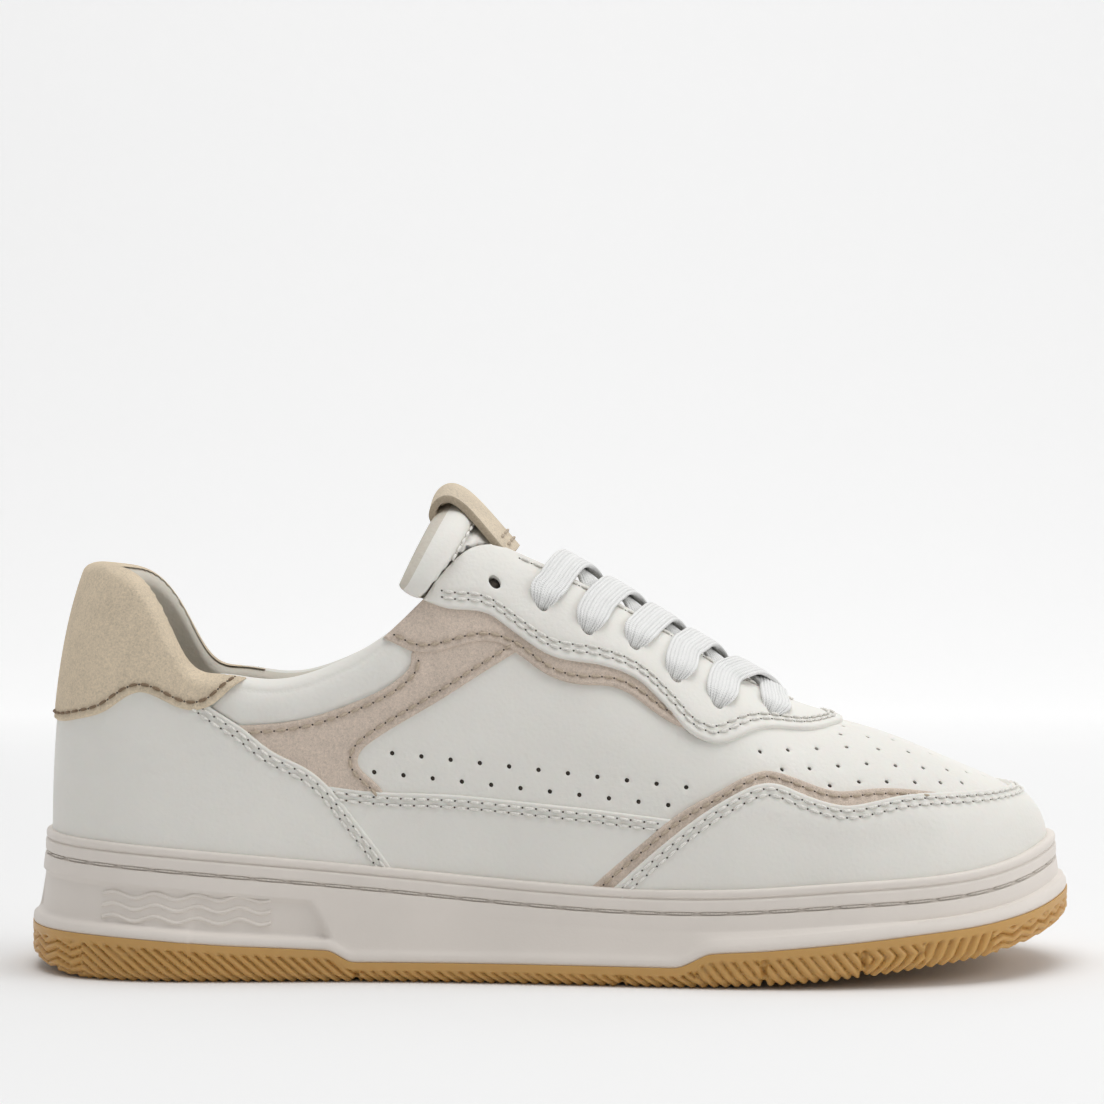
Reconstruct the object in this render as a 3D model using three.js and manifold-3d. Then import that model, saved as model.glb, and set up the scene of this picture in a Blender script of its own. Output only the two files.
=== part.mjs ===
// Right court shoe, built as separate cut panels on one lasted surface.
// Millimetres, +X to the toe, -Y the lateral (outer) side, +Z up, standing on z = 0.
import * as THREE from 'three';
import { mergeVertices } from 'three/addons/utils/BufferGeometryUtils.js';
import Module from 'manifold-3d';

const wasm = await Module();
wasm.setup();

// ---- driving dimensions -------------------------------------------------------------------
const HEEL_X = -143; // back of the leather at the sole line
const TOE_X = 143.4; // front of the leather at the sole line
const SPINE_HEEL_X = -105; // centre that the heel turns about
const SPINE_TOE_X = 90; // centre that the toe turns about
const SPINE_BLEND = 28;
const RISE_POWER = 2.5; // shape of each cross-section
const WIDTH_POWER = 2.3;
const TOE_WIDTH_POWER = 4.2; // what the toe's squarer nose adds
const TUCK = 6; // how far the upper reaches down inside the cup sole
const GAP = 0.3; // clearance between touching pieces
const LEATHER = 1.3;
const BASE = [-1.4, 0]; // depth of each layer from the outer face of the vamp and quarters
const OVERLAY = [GAP, GAP + LEATHER];
const TOP_LAYER = [OVERLAY[1] + GAP, OVERLAY[1] + GAP + LEATHER];
const STIFFENER = [-2.9, -1.7];
const LINING = [-4.4, -3.2];
const COLLAR_PAD = 5.6; // extra depth of the padded collar
const COLLAR_DROP = 35; // height of the padding below the top line
const EYELET_D = 5.6;
const LACE_WIDTH = 8;
const LACE_THICK = 1.7;
const STATIONS = 24; // cross-sections on each side, heel to toe
const ROWS = 8; // rows from the sole line to the ridge

// Half plan at the sole line: [x, y] from heel to toe.
const LATERAL = [[-138, -20], [-122, -31.5], [-95, -35.5], [-55, -35], [-10, -38.5], [35, -45.5],
  [70, -48.5], [100, -44], [124, -32], [138, -15]];
const MEDIAL = [[-138, 19.5], [-122, 30.5], [-95, 33.5], [-55, 31], [-10, 31.5], [35, 39],
  [70, 46], [100, 45], [124, 36], [138, 21.5]];
const TOE_Y = 4;

// ---- smooth curves ------------------------------------------------------------------------
function solveLinear(a, b) {
  const n = b.length;
  for (let i = 0; i < n; i += 1) {
    for (let k = i + 1; k < n; k += 1) {
      const f = a[k][i] / a[i][i];
      for (let j = i; j < n; j += 1) a[k][j] -= f * a[i][j];
      b[k] -= f * b[i];
    }
  }
  for (let i = n - 1; i >= 0; i -= 1) {
    for (let j = i + 1; j < n; j += 1) b[i] -= a[i][j] * b[j];
    b[i] /= a[i][i];
  }
  return b;
}

// Natural cubic spline through [x, y] points, level beyond its ends.
function spline(points) {
  const xs = points.map((p) => p[0]);
  const ys = points.map((p) => p[1]);
  const n = xs.length;
  const a = xs.map((_, i) => xs.map((__, j) => (i === j ? 1 : 0)));
  const b = xs.map(() => 0);
  for (let i = 1; i < n - 1; i += 1) {
    const before = xs[i] - xs[i - 1];
    const after = xs[i + 1] - xs[i];
    a[i][i - 1] = before;
    a[i][i] = 2 * (before + after);
    a[i][i + 1] = after;
    b[i] = 6 * ((ys[i + 1] - ys[i]) / after - (ys[i] - ys[i - 1]) / before);
  }
  const m = solveLinear(a, b);
  return (at) => {
    const x = Math.min(Math.max(at, xs[0]), xs[n - 1]);
    let i = 0;
    while (i < n - 2 && x > xs[i + 1]) i += 1;
    const h = xs[i + 1] - xs[i];
    const l = xs[i + 1] - x;
    const r = x - xs[i];
    return (m[i] * l ** 3 + m[i + 1] * r ** 3) / (6 * h)
      + (ys[i] / h - (m[i] * h) / 6) * l + (ys[i + 1] / h - (m[i + 1] * h) / 6) * r;
  };
}

function smoothstep(x, from, to) {
  const t = Math.min(Math.max((x - from) / (to - from), 0), 1);
  return t * t * (3 - 2 * t);
}

// ---- the lasted surface -------------------------------------------------------------------
const MID_X = (HEEL_X + TOE_X) / 2;
const HALF_X = (TOE_X - HEEL_X) / 2;
const angleOf = (x) => Math.acos((MID_X - x) / HALF_X);

// Sole line as one loop: angle 0 at the heel, to PI at the toe along the lateral side.
const loop = [[0, 0], ...LATERAL.map(([x, y]) => [angleOf(x), y]), [Math.PI, TOE_Y],
  ...MEDIAL.map(([x, y]) => [2 * Math.PI - angleOf(x), y]).reverse()];
const turned = (points, by) => points.map(([angle, y]) => [angle + by, y]);
const loopY = spline([...turned(loop.slice(-4), -2 * Math.PI), ...loop,
  ...turned(loop.slice(0, 4), 2 * Math.PI)]);
const planX = (angle) => MID_X - HALF_X * Math.cos(angle);

const spineY = spline([[-105, 0], [-50, -2], [0, -2.5], [50, -0.5], [90, 2]]);
const rimZ = spline([[-144, 39.6], [-88, 35], [-43, 31], [19, 26.5], [50, 26.6], [81, 28.5],
  [130, 33.5], [144, 37.8]]);
const ridgeZ = spline([[-145, 140], [-90, 140], [-60, 139], [-35, 133], [-17, 125], [-2, 117.2],
  [18, 105.5], [32, 96.5], [48, 86.5], [60, 79.5], [73, 73.4], [84, 70.3], [102, 64.6],
  [120, 57.4], [133, 53.4], [146, 50.5]]);
const TOP_LINE = [[-150, 121], [-129.2, 117], [-118.7, 113.5], [-111.5, 104.6], [-103.9, 90.5],
  [-92.6, 85.5], [-78.9, 83.9], [-62.2, 87.9], [-46.6, 96.6], [-36.5, 105.6], [-28.6, 115],
  [-22.8, 119.1], [-18, 119.9], [-9.7, 118.5]];
const topLineZ = spline(TOP_LINE);

function ramp(t) {
  if (t < -SPINE_BLEND) return 0;
  return t > SPINE_BLEND ? t : (t + SPINE_BLEND) ** 2 / (4 * SPINE_BLEND);
}
const spineX = (x) => SPINE_HEEL_X + ramp(x - SPINE_HEEL_X) - ramp(x - SPINE_TOE_X);

function station(angle) {
  const x = planX(angle);
  const y = loopY(angle < 0 ? angle + 2 * Math.PI : angle);
  const cx = spineX(x);
  const cy = spineY(cx);
  const nose = Math.max(x - cx, 0) / Math.hypot(x - cx, y - cy);
  return { x, y, cx, cy, power: WIDTH_POWER + TOE_WIDTH_POWER * nose * nose, low: rimZ(x) - TUCK };
}

// A point on the surface: rise is 0 at the foot of the upper and 1 on the ridge.
function surface(angle, rise) {
  const s = station(angle);
  const reach = Math.max(1 - rise ** RISE_POWER, 0) ** (1 / s.power);
  const x = s.cx + (s.x - s.cx) * reach;
  const y = s.cy + (s.y - s.cy) * reach;
  return new THREE.Vector3(x, y, s.low + (ridgeZ(x) - s.low) * rise);
}

function ridgeNormal(angle) {
  const x = surface(angle, 1).x;
  return new THREE.Vector3(ridgeZ(x - 1) - ridgeZ(x + 1), 0, 2).normalize();
}

function normalAt(angle, rise) {
  if (rise > 0.9999) return ridgeNormal(angle);
  const step = 1e-4;
  const r = Math.min(Math.max(rise, 2 * step), 1 - 2 * step);
  const along = surface(angle + step, r).sub(surface(angle - step, r));
  const up = surface(angle, r + step).sub(surface(angle, r - step));
  return along.cross(up).normalize();
}

const offsetPoint = (angle, rise, depth) => (
  surface(angle, rise).addScaledVector(normalAt(angle, rise), depth));

// Angle and rise of the surface point over a plan position.
function overPlan(x, y) {
  const lateral = y < spineY(spineX(x));
  let lo = 0;
  let hi = Math.PI;
  for (let k = 0; k < 40; k += 1) {
    const mid = (lo + hi) / 2;
    const s = station(lateral ? mid : 2 * Math.PI - mid);
    const side = (s.x - s.cx) * (y - s.cy) - (s.y - s.cy) * (x - s.cx);
    if ((lateral ? side : -side) < 0) hi = mid; else lo = mid;
  }
  const angle = lateral ? lo : 2 * Math.PI - lo;
  const s = station(angle);
  const reach = Math.min(Math.hypot(x - s.cx, y - s.cy) / Math.hypot(s.x - s.cx, s.y - s.cy), 1);
  return [angle, (1 - reach ** s.power) ** (1 / RISE_POWER)];
}

// Angle and rise of the surface point seen from the side at x, z.
function fromSide(x, z, lateral) {
  let lo = 0;
  let hi = Math.PI;
  let rise = 0;
  for (let k = 0; k < 40; k += 1) {
    const mid = (lo + hi) / 2;
    const angle = lateral ? mid : 2 * Math.PI - mid;
    const low = station(angle).low;
    rise = Math.min(Math.max((z - low) / (ridgeZ(x) - low), 0), 1);
    if (surface(angle, rise).x < x) lo = mid; else hi = mid;
  }
  return [lateral ? lo : 2 * Math.PI - lo, rise];
}

// ---- solids -------------------------------------------------------------------------------
function geometryOf(points, faces) {
  const geometry = new THREE.BufferGeometry();
  const flat = faces.flatMap((f) => f.flatMap((i) => points[i].toArray()));
  geometry.setAttribute('position', new THREE.Float32BufferAttribute(flat, 3));
  return geometry;
}

function solid(geometry) {
  const g = geometry.clone();
  g.deleteAttribute('normal');
  g.deleteAttribute('uv');
  const merged = mergeVertices(g, 1e-3);
  const index = merged.index.array;
  const kept = [];
  for (let i = 0; i < index.length; i += 3) {
    const [a, b, c] = [index[i], index[i + 1], index[i + 2]];
    if (a !== b && b !== c && a !== c) kept.push(a, b, c);
  }
  return new wasm.Manifold(new wasm.Mesh({
    numProp: 3,
    vertProperties: new Float32Array(merged.attributes.position.array),
    triVerts: new Uint32Array(kept),
  }));
}

function toGeometry(manifold) {
  const m = manifold.getMesh();
  const geometry = new THREE.BufferGeometry();
  geometry.setAttribute('position', new THREE.Float32BufferAttribute(m.vertProperties, 3));
  geometry.setIndex([...m.triVerts]);
  return geometry;
}

const ring = Array.from({ length: 2 * STATIONS }, (_, i) => (i * Math.PI) / STATIONS);

// Rises of the grid rows at one angle: the foot, the rim line, then evenly up to the ridge.
function rowRises(angle) {
  const s = station(angle);
  const rim = (TUCK + GAP) / (ridgeZ(s.x) - s.low);
  const rows = [0];
  for (let j = 0; j <= ROWS; j += 1) {
    rows.push(rim + (1 - rim) * Math.sin((j / ROWS) * (Math.PI / 2)));
  }
  return rows;
}

// A skin over the whole last between two depths; firstRow 1 starts it at the rim of the sole.
function skin(inner, outer, firstRow = 0) {
  const depthOf = (d, angle, rise) => (typeof d === 'function' ? d(angle, rise) : d);
  const sheet = (d) => ring.map((angle) => rowRises(angle).slice(firstRow)
    .map((rise) => offsetPoint(angle, rise, depthOf(d, angle, rise))));
  const outside = sheet(outer);
  const inside = sheet(inner);
  const columns = ring.length;
  const rows = outside[0].length;
  const points = [...outside.flat(), ...inside.flat()];
  const at = (layer, i, j) => layer * columns * rows + (i % columns) * rows + j;
  const faces = [];
  for (let i = 0; i < columns; i += 1) {
    for (let j = 0; j < rows - 1; j += 1) {
      faces.push([at(0, i, j), at(0, i + 1, j), at(0, i + 1, j + 1)]);
      faces.push([at(0, i, j), at(0, i + 1, j + 1), at(0, i, j + 1)]);
      faces.push([at(1, i, j), at(1, i + 1, j + 1), at(1, i + 1, j)]);
      faces.push([at(1, i, j), at(1, i, j + 1), at(1, i + 1, j + 1)]);
    }
    faces.push([at(0, i, 0), at(1, i, 0), at(1, i + 1, 0)]);
    faces.push([at(0, i, 0), at(1, i + 1, 0), at(0, i + 1, 0)]);
  }
  return solid(geometryOf(points, faces));
}

const vectors = (points) => points.map(([x, y]) => new THREE.Vector2(x, y));
const curved = (points, steps = 2) => new THREE.SplineCurve(vectors(points))
  .getPoints((points.length - 1) * steps).map((p) => [p.x, p.y]);

// Everything inside an outline drawn in side view, from y = from to y = to.
function sideCutter(outline, from = -90, to = 90) {
  const g = new THREE.ExtrudeGeometry(new THREE.Shape(vectors(outline)),
    { depth: to - from, bevelEnabled: false });
  g.rotateX(Math.PI / 2);
  g.translate(0, to, 0);
  return solid(g);
}

// Everything inside an outline drawn in plan.
function planCutter(outline, from = 0, to = 200) {
  const g = new THREE.ExtrudeGeometry(new THREE.Shape(vectors(outline)),
    { depth: to - from, bevelEnabled: false });
  g.translate(0, 0, from);
  return solid(g);
}

// Closed loft through horizontal loops of the sole, capped across from side to side.
function loft(loops) {
  const columns = loops[0].length;
  const points = loops.flat();
  const faces = [];
  for (let k = 0; k < loops.length - 1; k += 1) {
    for (let i = 0; i < columns; i += 1) {
      const [a, b] = [k * columns + i, k * columns + ((i + 1) % columns)];
      faces.push([a, b, b + columns], [a, b + columns, a + columns]);
    }
  }
  const top = (loops.length - 1) * columns;
  for (let i = 0; i < columns / 2; i += 1) {
    const [a, b] = [i, i + 1];
    const [c, d] = [(columns - i) % columns, columns - i - 1];
    faces.push([a, d, b], [a, c, d]);
    faces.push([top + a, top + b, top + d], [top + a, top + d, top + c]);
  }
  return solid(geometryOf(points, faces));
}

// One loop of the sole: pushed out from the sole line, at a height given along x.
function soleLoop(out, heightAt) {
  return ring.map((angle) => {
    const step = 1e-3;
    const dx = planX(angle + step) - planX(angle - step);
    const dy = loopY(angle + step) - loopY(angle === 0 ? 2 * Math.PI - step : angle - step);
    const length = Math.hypot(dx, dy);
    const [x, y] = [planX(angle), loopY(angle)];
    return new THREE.Vector3(x + (out * dy) / length, y - (out * dx) / length, heightAt(x));
  });
}

// ---- cutters shared by several pieces -------------------------------------------------------
const shifted = (points, dx, dz) => points.map(([x, z]) => [x + dx, z + dz]);
const topEdge = curved(TOP_LINE, 1);
const aboveLine = (by) => sideCutter([...shifted(topEdge, 0, by), [-9.7, 220], [-170, 220],
  [-170, 121]]);
const aboveTopLine = aboveLine(0);
const THROAT = [[-60, -17], [-17, -15.5], [0, -16], [20, -15.5], [40, -13.5], [54, -10.5],
  [63, -6], [67, 0.5], [63, 6], [54, 9.5], [40, 12], [20, 12.5], [0, 11.5], [-17, 11.5], [-60, 13]];
const throat = planCutter(THROAT);
const lateralHalf = planCutter([[-200, -200], [200, -200], [200, 0.4], [-200, -0.3]]);
const medialHalf = planCutter([[-200, 0.3], [200, 1], [200, 200], [-200, 200]]);

const EYELETS = [[-16.1, 110.7], [-2.8, 104.4], [10, 97.7], [23.2, 93.4], [34.7, 84.4],
  [46.3, 77], [62.4, 74.3]];
function eyeletTool([x, z], lateral) {
  const [angle, rise] = fromSide(x, z, lateral);
  const axis = normalAt(angle, rise);
  const g = new THREE.CylinderGeometry(EYELET_D / 2, EYELET_D / 2, 24, 8);
  g.applyQuaternion(new THREE.Quaternion().setFromUnitVectors(new THREE.Vector3(0, 1, 0), axis));
  const at = surface(angle, rise);
  g.translate(at.x, at.y, at.z);
  return solid(g);
}
const eyelets = EYELETS.flatMap((e) => [eyeletTool(e, true), eyeletTool(e, false)]);

// ---- lace: a level bar at the front, then crossing straps, with both ends tucked inside -------
const UNDER = -6; // depth of the lace inside the facings
const ON_TOP = TOP_LAYER[1] + GAP + LACE_THICK / 2;
const laced = EYELETS.slice(1);

// Over the edge of an eyelet and down through it: [inwards of the eyelet, depth, width].
const DIVE_STOPS = [[3.2, ON_TOP, LACE_WIDTH], [0.8, ON_TOP - 0.4, 5.4], [0, 0.6, 4.2], [0, -3, 4.2],
  [1, UNDER - 0.4, 4.6]];
function dive(index, lateral) {
  const [angle, rise] = fromSide(...laced[index], lateral);
  const eyelet = surface(angle, rise);
  const normal = normalAt(angle, rise);
  const inwards = new THREE.Vector3(0, lateral ? 1 : -1, 0);
  inwards.addScaledVector(normal, -inwards.dot(normal)).normalize();
  return DIVE_STOPS.map(([inward, depth, width]) => ({
    at: eyelet.clone().addScaledVector(normal, depth).addScaledVector(inwards, inward),
    normal,
    width,
  }));
}
function overPoint(x, y, depth, width) {
  const [angle, rise] = overPlan(x, y);
  const n = normalAt(angle, rise);
  return { at: surface(angle, rise).addScaledVector(n, depth), normal: n, width };
}
// One crossing, from inside one facing, up through the throat and over the other facing, as
// [share of the way forward or back, distance across the middle, depth, width, share of OVER].
const CROSS_STOPS = [[0.22, -15.5, -7.2, 7, 0], [0.36, -9, -2.4, 7.6, 0], [0.5, 0, 2.9, LACE_WIDTH, 1],
  [0.7, 11, 3.4, LACE_WIDTH, 0.4], [0.86, 19, ON_TOP, LACE_WIDTH, 0]];
const OVER = { toLateral: 1.2, toMedial: -1 }; // how the two straps pass each other at the middle
function crossing(index, toLateral) {
  const side = toLateral ? -1 : 1;
  const from = laced[index][0];
  const to = laced[index - 1][0];
  const over = toLateral ? OVER.toLateral : OVER.toMedial;
  return CROSS_STOPS.map(([share, across, depth, width, lift]) => overPoint(
    from + (to - from) * share, spineY(from) + side * across, depth + over * lift, width));
}
const BAR_END = 9; // where the front bar leaves the middle for its eyelet
function laceHalf(lateral) {
  const front = laced.length - 1;
  const x = laced[front][0] + 1;
  const y = spineY(x) + (lateral ? -BAR_END : BAR_END);
  let side = lateral;
  let points = [overPoint(x, y, ON_TOP - 0.2, LACE_WIDTH), ...dive(front, side)];
  for (let index = front; index > 0; index -= 1) {
    side = !side;
    points = [...points, ...crossing(index, side), ...dive(index - 1, side)];
  }
  return points;
}
const routePoints = [...laceHalf(true).reverse(), ...laceHalf(false)];

function laceSolid(stops, steps, room = 0) {
  const path = new THREE.CatmullRomCurve3(stops.map((s) => s.at), false, 'centripetal');
  const SECTION = 6;
  const rings = [];
  let across = null;
  const total = (stops.length - 1) * steps;
  for (let i = 0; i <= total; i += 1) {
    const share = i / total;
    const place = Math.min(Math.floor(i / steps), stops.length - 2);
    const blend = i / steps - place;
    const width = stops[place].width * (1 - blend) + stops[place + 1].width * blend;
    const thick = LACE_THICK * (1 + (0.9 * (LACE_WIDTH - width)) / LACE_WIDTH);
    const tangent = path.getTangent(share).normalize();
    const flat = stops[place].normal.clone().lerp(stops[place + 1].normal, blend);
    const wanted = tangent.clone().cross(flat);
    if (!across) across = wanted.clone().normalize();
    if (wanted.dot(across) < 0) wanted.negate();
    const weight = Math.min(wanted.length(), 1) ** 2;
    across = across.clone().multiplyScalar(1 - weight).addScaledVector(wanted.normalize(), weight);
    across.addScaledVector(tangent, -across.dot(tangent)).normalize();
    const up = across.clone().cross(tangent);
    const centre = path.getPoint(share);
    rings.push(Array.from({ length: SECTION }, (_, k) => {
      const turn = ((k + 0.5) / SECTION) * 2 * Math.PI;
      return centre.clone().addScaledVector(across, (width / 2 + room) * Math.cos(turn))
        .addScaledVector(up, (thick / 2 + room) * Math.sin(turn));
    }));
  }
  const faces = [];
  for (let i = 0; i < total; i += 1) {
    for (let k = 0; k < SECTION; k += 1) {
      const [a, b] = [i * SECTION + k, i * SECTION + ((k + 1) % SECTION)];
      faces.push([a, b + SECTION, b], [a, a + SECTION, b + SECTION]);
    }
  }
  const end = total * SECTION;
  for (let k = 1; k < SECTION - 1; k += 1) {
    faces.push([0, k, k + 1], [end, end + k + 1, end + k]);
  }
  return solid(geometryOf(rings.flat(), faces));
}

const lace = laceSolid(routePoints, 2);
const laceRoom = laceSolid(routePoints, 2, 1.2 * GAP);

const open = (shell) => eyelets.reduce((body, hole) => body.subtract(hole),
  shell.subtract(aboveTopLine).subtract(throat)).subtract(laceRoom);

const baseSkin = open(skin(...BASE));
const overlaySkin = open(skin(...OVERLAY, 1));
const topSkin = open(skin(...TOP_LAYER, 1));

// ---- side-view outlines ----------------------------------------------------------------------
const VAMP_LINE = [[46, 110], [44, 60], [30, 40], [22, -10]];
const COLLAR_SEAM = [[-170, 76.5], [-95.8, 76], [-87.6, 71.6], [-73.7, 72.1], [-59.2, 76.4],
  [-43.6, 83.6], [-39.5, 87.9], [-40.5, 91], [-48.5, 95.8], [-60, 108]];
const COUNTER_EDGE = [[-101, 83.5], [-95.6, 76.1], [-85.8, 69.7], [-77.9, 63.6], [-68.8, 59],
  [-62.1, 53.2], [-55.4, 45.2], [-44.3, 30.5]];
const TAB_EDGE = [[-133.5, 72.2], [-125.7, 74.5], [-117, 79.6], [-108, 77.5], [-101, 75.1],
  [-95.4, 76.2], [-90.4, 80.3], [-84.5, 88]];
const SADDLE_TOP = [[-87, 71.2], [-79.1, 71.4], [-68.3, 73], [-57.2, 76.8], [-42.4, 84.6],
  [-39.6, 89.8]];
const SADDLE_FRONT = [[-11.5, 90.6], [-20.1, 85], [-31.8, 77.5], [-50.1, 66.6], [-54.2, 61.1],
  [-48.6, 53]];
const TRIM_EDGE = [[-48.2, 95.2], [-37.3, 91.3], [-26.7, 93], [-17.6, 94.4], [-7, 89.1],
  [3.6, 83.3], [17.3, 81.9], [27.8, 75.7], [38, 69.5]];
const EYESTAY_EDGE = [[-38.5, 106.5], [-29.7, 103.6], [-20.2, 102.7], [-13.4, 99.1], [-0.6, 90.6],
  [11.4, 88.3], [24.5, 83.6], [33.3, 74.9], [42.5, 67], [50, 66.9], [59.9, 70], [68.9, 69.8],
  [77.7, 70.3], [81, 72.6]];
const FOXING_TOP = [[-61, 53], [-47.6, 52.2], [-31.7, 51.7], [-8.3, 49.8], [12.7, 47.8],
  [33.2, 45.2]];
const TOE_TRIM_TOP = [[9.5, 25], [25.3, 39.5], [37.4, 48.8], [48.1, 54.6], [56, 58.3], [62.1, 58.5],
  [70.9, 55.5], [78.9, 53.3], [94, 53.8], [107.4, 52.3], [116, 51]];
const MUDGUARD_TOP = [[14.5, 24], [31.2, 39.5], [43.6, 48.8], [53.2, 54.1], [61.8, 55.5],
  [76, 50.4], [83, 49.8], [95.9, 51.8], [113.2, 52.8], [125.2, 52.8], [133.8, 53.1], [150, 52]];
const reversed = (points) => [...points].reverse();

const counterOutline = [...curved(COUNTER_EDGE), [-44.3, 0], [-170, 0], [-170, 83.5]];
const collarOutline = [...curved(COLLAR_SEAM), [-60, 200], [-170, 200]];
const saddleOutline = [...curved(SADDLE_TOP), [-37, 90.6], [-31.9, 91.6], [-22.4, 93.3],
  [-16.8, 93.4], ...curved(SADDLE_FRONT), [-60.8, 53.4], [-61.7, 54], [-68.5, 59.8],
  [-77.4, 64.4], [-85, 70.2]];
const trimOutline = [...curved(TRIM_EDGE), [45, 70.5], [36, 80], [25, 90], [-5, 97], [-20, 108],
  [-34, 112], [-50, 108]];
const eyestayOutline = [...curved(EYESTAY_EDGE), [81, 160], [-60, 160], [-60, 106.5]];
const foxingOutline = [...curved(FOXING_TOP), [25.8, 39.2], [8.8, 23], [8.8, 0], [-43.7, 0],
  [-43.7, 30.5], [-54.8, 45.4]];
const toeTrimOutline = [...curved(TOE_TRIM_TOP), [116, 47],
  ...reversed(curved(shifted(MUDGUARD_TOP.slice(1, -3), 1.5, -5.5))), [17, 22], [17, 0], [9.5, 0]];
const mudguardOutline = [...curved(MUDGUARD_TOP), [170, 52], [170, 0], [14.5, 0]];
const vampOutline = [...VAMP_LINE, [170, -10], [170, 110]];
const quarterOutline = [...shifted(reversed(VAMP_LINE), -0.4, 0), [46, 200], [-170, 200],
  [-170, -10]];

// ---- the group ---------------------------------------------------------------------------------
const shoe = new THREE.Group();
const WHITE_LEATHER = { color: 0xdedbd3, roughness: 0.55, metalness: 0 };
const BEIGE_SUEDE = { color: 0xcdbcab, roughness: 0.95, metalness: 0 };
const TAN_SUEDE = { color: 0xcfbc9c, roughness: 0.95, metalness: 0 };
const TEXTILE = { color: 0xb4ada0, roughness: 0.9, metalness: 0 };
const FOAM = { color: 0xe6dfc4, roughness: 0.9, metalness: 0 };
const BOARD = { color: 0xb9a487, roughness: 0.9, metalness: 0 };
const WHITE_RUBBER = { color: 0xd0c7be, roughness: 0.6, metalness: 0 };
const GUM_RUBBER = { color: 0xb98c50, roughness: 0.45, metalness: 0 };
const LACE_WHITE = { color: 0xf2f1ee, roughness: 0.85, metalness: 0 };

function add(name, body, look) {
  const material = new THREE.MeshStandardMaterial(look);
  const mesh = new THREE.Mesh(toGeometry(body), material);
  mesh.name = name;
  shoe.add(mesh);
}

// The largest separate body of a cut, so that slivers past an edge fall away.
function largest(body) {
  const parts = body.decompose();
  return parts.reduce((best, part) => (part.volume() > best.volume() ? part : best));
}

function addPair(name, body, look) {
  add(`${name}_lateral`, largest(body.intersect(lateralHalf)), look);
  add(`${name}_medial`, largest(body.intersect(medialHalf)), look);
}

// ---- upper, outside ----------------------------------------------------------------------------
const collarCut = sideCutter(collarOutline);
const seamAllowance = sideCutter([...shifted(curved(COLLAR_SEAM), 0, -0.4), [-60, 200],
  [-170, 200]]);
const quarters = baseSkin.intersect(sideCutter(quarterOutline)).subtract(seamAllowance)
  .subtract(collarCut);
add('vamp', largest(baseSkin.intersect(sideCutter(vampOutline))), WHITE_LEATHER);
addPair('quarter', quarters, WHITE_LEATHER);
addPair('collar_panel', baseSkin.intersect(collarCut), WHITE_LEATHER);
addPair('foxing_panel', overlaySkin.intersect(sideCutter(foxingOutline))
  .subtract(sideCutter(shifted(toeTrimOutline, -0.5, 0))), WHITE_LEATHER);
addPair('saddle', overlaySkin.intersect(sideCutter(saddleOutline)), BEIGE_SUEDE);
addPair('eyestay_trim', overlaySkin.intersect(sideCutter(trimOutline)), BEIGE_SUEDE);
addPair('toe_trim', overlaySkin.intersect(sideCutter(toeTrimOutline)), BEIGE_SUEDE);
add('heel_panel', largest(overlaySkin.intersect(sideCutter(counterOutline))), WHITE_LEATHER);
add('eyestay', largest(topSkin.intersect(sideCutter(eyestayOutline))), WHITE_LEATHER);
add('mudguard', largest(topSkin.intersect(sideCutter(mudguardOutline))), WHITE_LEATHER);
add('heel_tab', largest(topSkin.intersect(sideCutter(
  [...curved(TAB_EDGE), [-84, 200], [-170, 200], [-170, 71]]))), TAN_SUEDE);

// ---- upper, inside -----------------------------------------------------------------------------
// How far the collar is padded out at a place, from 0 to 1.
function padding(angle, rise) {
  const p = surface(angle, rise);
  const below = topLineZ(Math.min(p.x, -9.7)) - p.z;
  return (1 - smoothstep(below, 20, COLLAR_DROP)) * (1 - smoothstep(p.x, -62, -44));
}
const liningFace = (face) => (angle, rise) => face - COLLAR_PAD * padding(angle, rise);
const lining = open(skin(liningFace(LINING[0]), liningFace(LINING[1])));
add('vamp_lining', largest(lining.intersect(sideCutter(vampOutline))), TEXTILE);
add('quarter_lining', largest(lining.intersect(sideCutter(quarterOutline))), TEXTILE);

const padLine = (drop) => [-150, -129, -111, -104, -92, -79, -62, -47, -40]
  .map((x) => [x, topLineZ(x) - drop]);
const foamSkin = open(skin(liningFace(LINING[1] + GAP), STIFFENER[1]));
const foamOutline = [...padLine(COLLAR_DROP - 1), [-40, 200], [-150, 200]];
add('collar_foam', largest(foamSkin.intersect(sideCutter(foamOutline))), FOAM);

const stiffenerSkin = open(skin(...STIFFENER));
const counterInside = [...padLine(COLLAR_DROP).filter(([x]) => x < -75), [-72, 40], [-66, 0],
  [-170, 0], [-170, 80]];
add('heel_counter', largest(stiffenerSkin.intersect(sideCutter(counterInside))), BOARD);
add('toe_puff', largest(stiffenerSkin.intersect(sideCutter([[104, 0], [170, 0], [170, 90],
  [98, 90]]))), BOARD);

// ---- sole ----------------------------------------------------------------------------------------
const treadZ = spline([[-146, 4.2], [-136, 1.3], [-118, 0], [-60, 0], [0, 0], [35, 0], [60, 1],
  [80, 2.7], [102, 5.2], [127, 9], [144, 14]]);
const groundZ = (x) => (x > -112 && x < 36 ? 0 : Math.max(treadZ(x), 0));
const gumZ = spline([[-144, 13.2], [-110, 11.2], [-70, 9.1], [-52, 6.2], [-30, 5.7], [30, 5.7],
  [44, 9.2], [77, 12], [102, 14.6], [127, 18.4], [144, 22.2]]);
const wellZ = spline([[-145, 17], [-88, 13.5], [-43, 10.5], [19, 9.5], [50, 12.6], [81, 15.4],
  [110, 18.4], [130, 22], [144, 25.5]]);
const above = (curve, by) => (x) => curve(x) + by;
const BOARD_TOP = TUCK + GAP;

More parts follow.
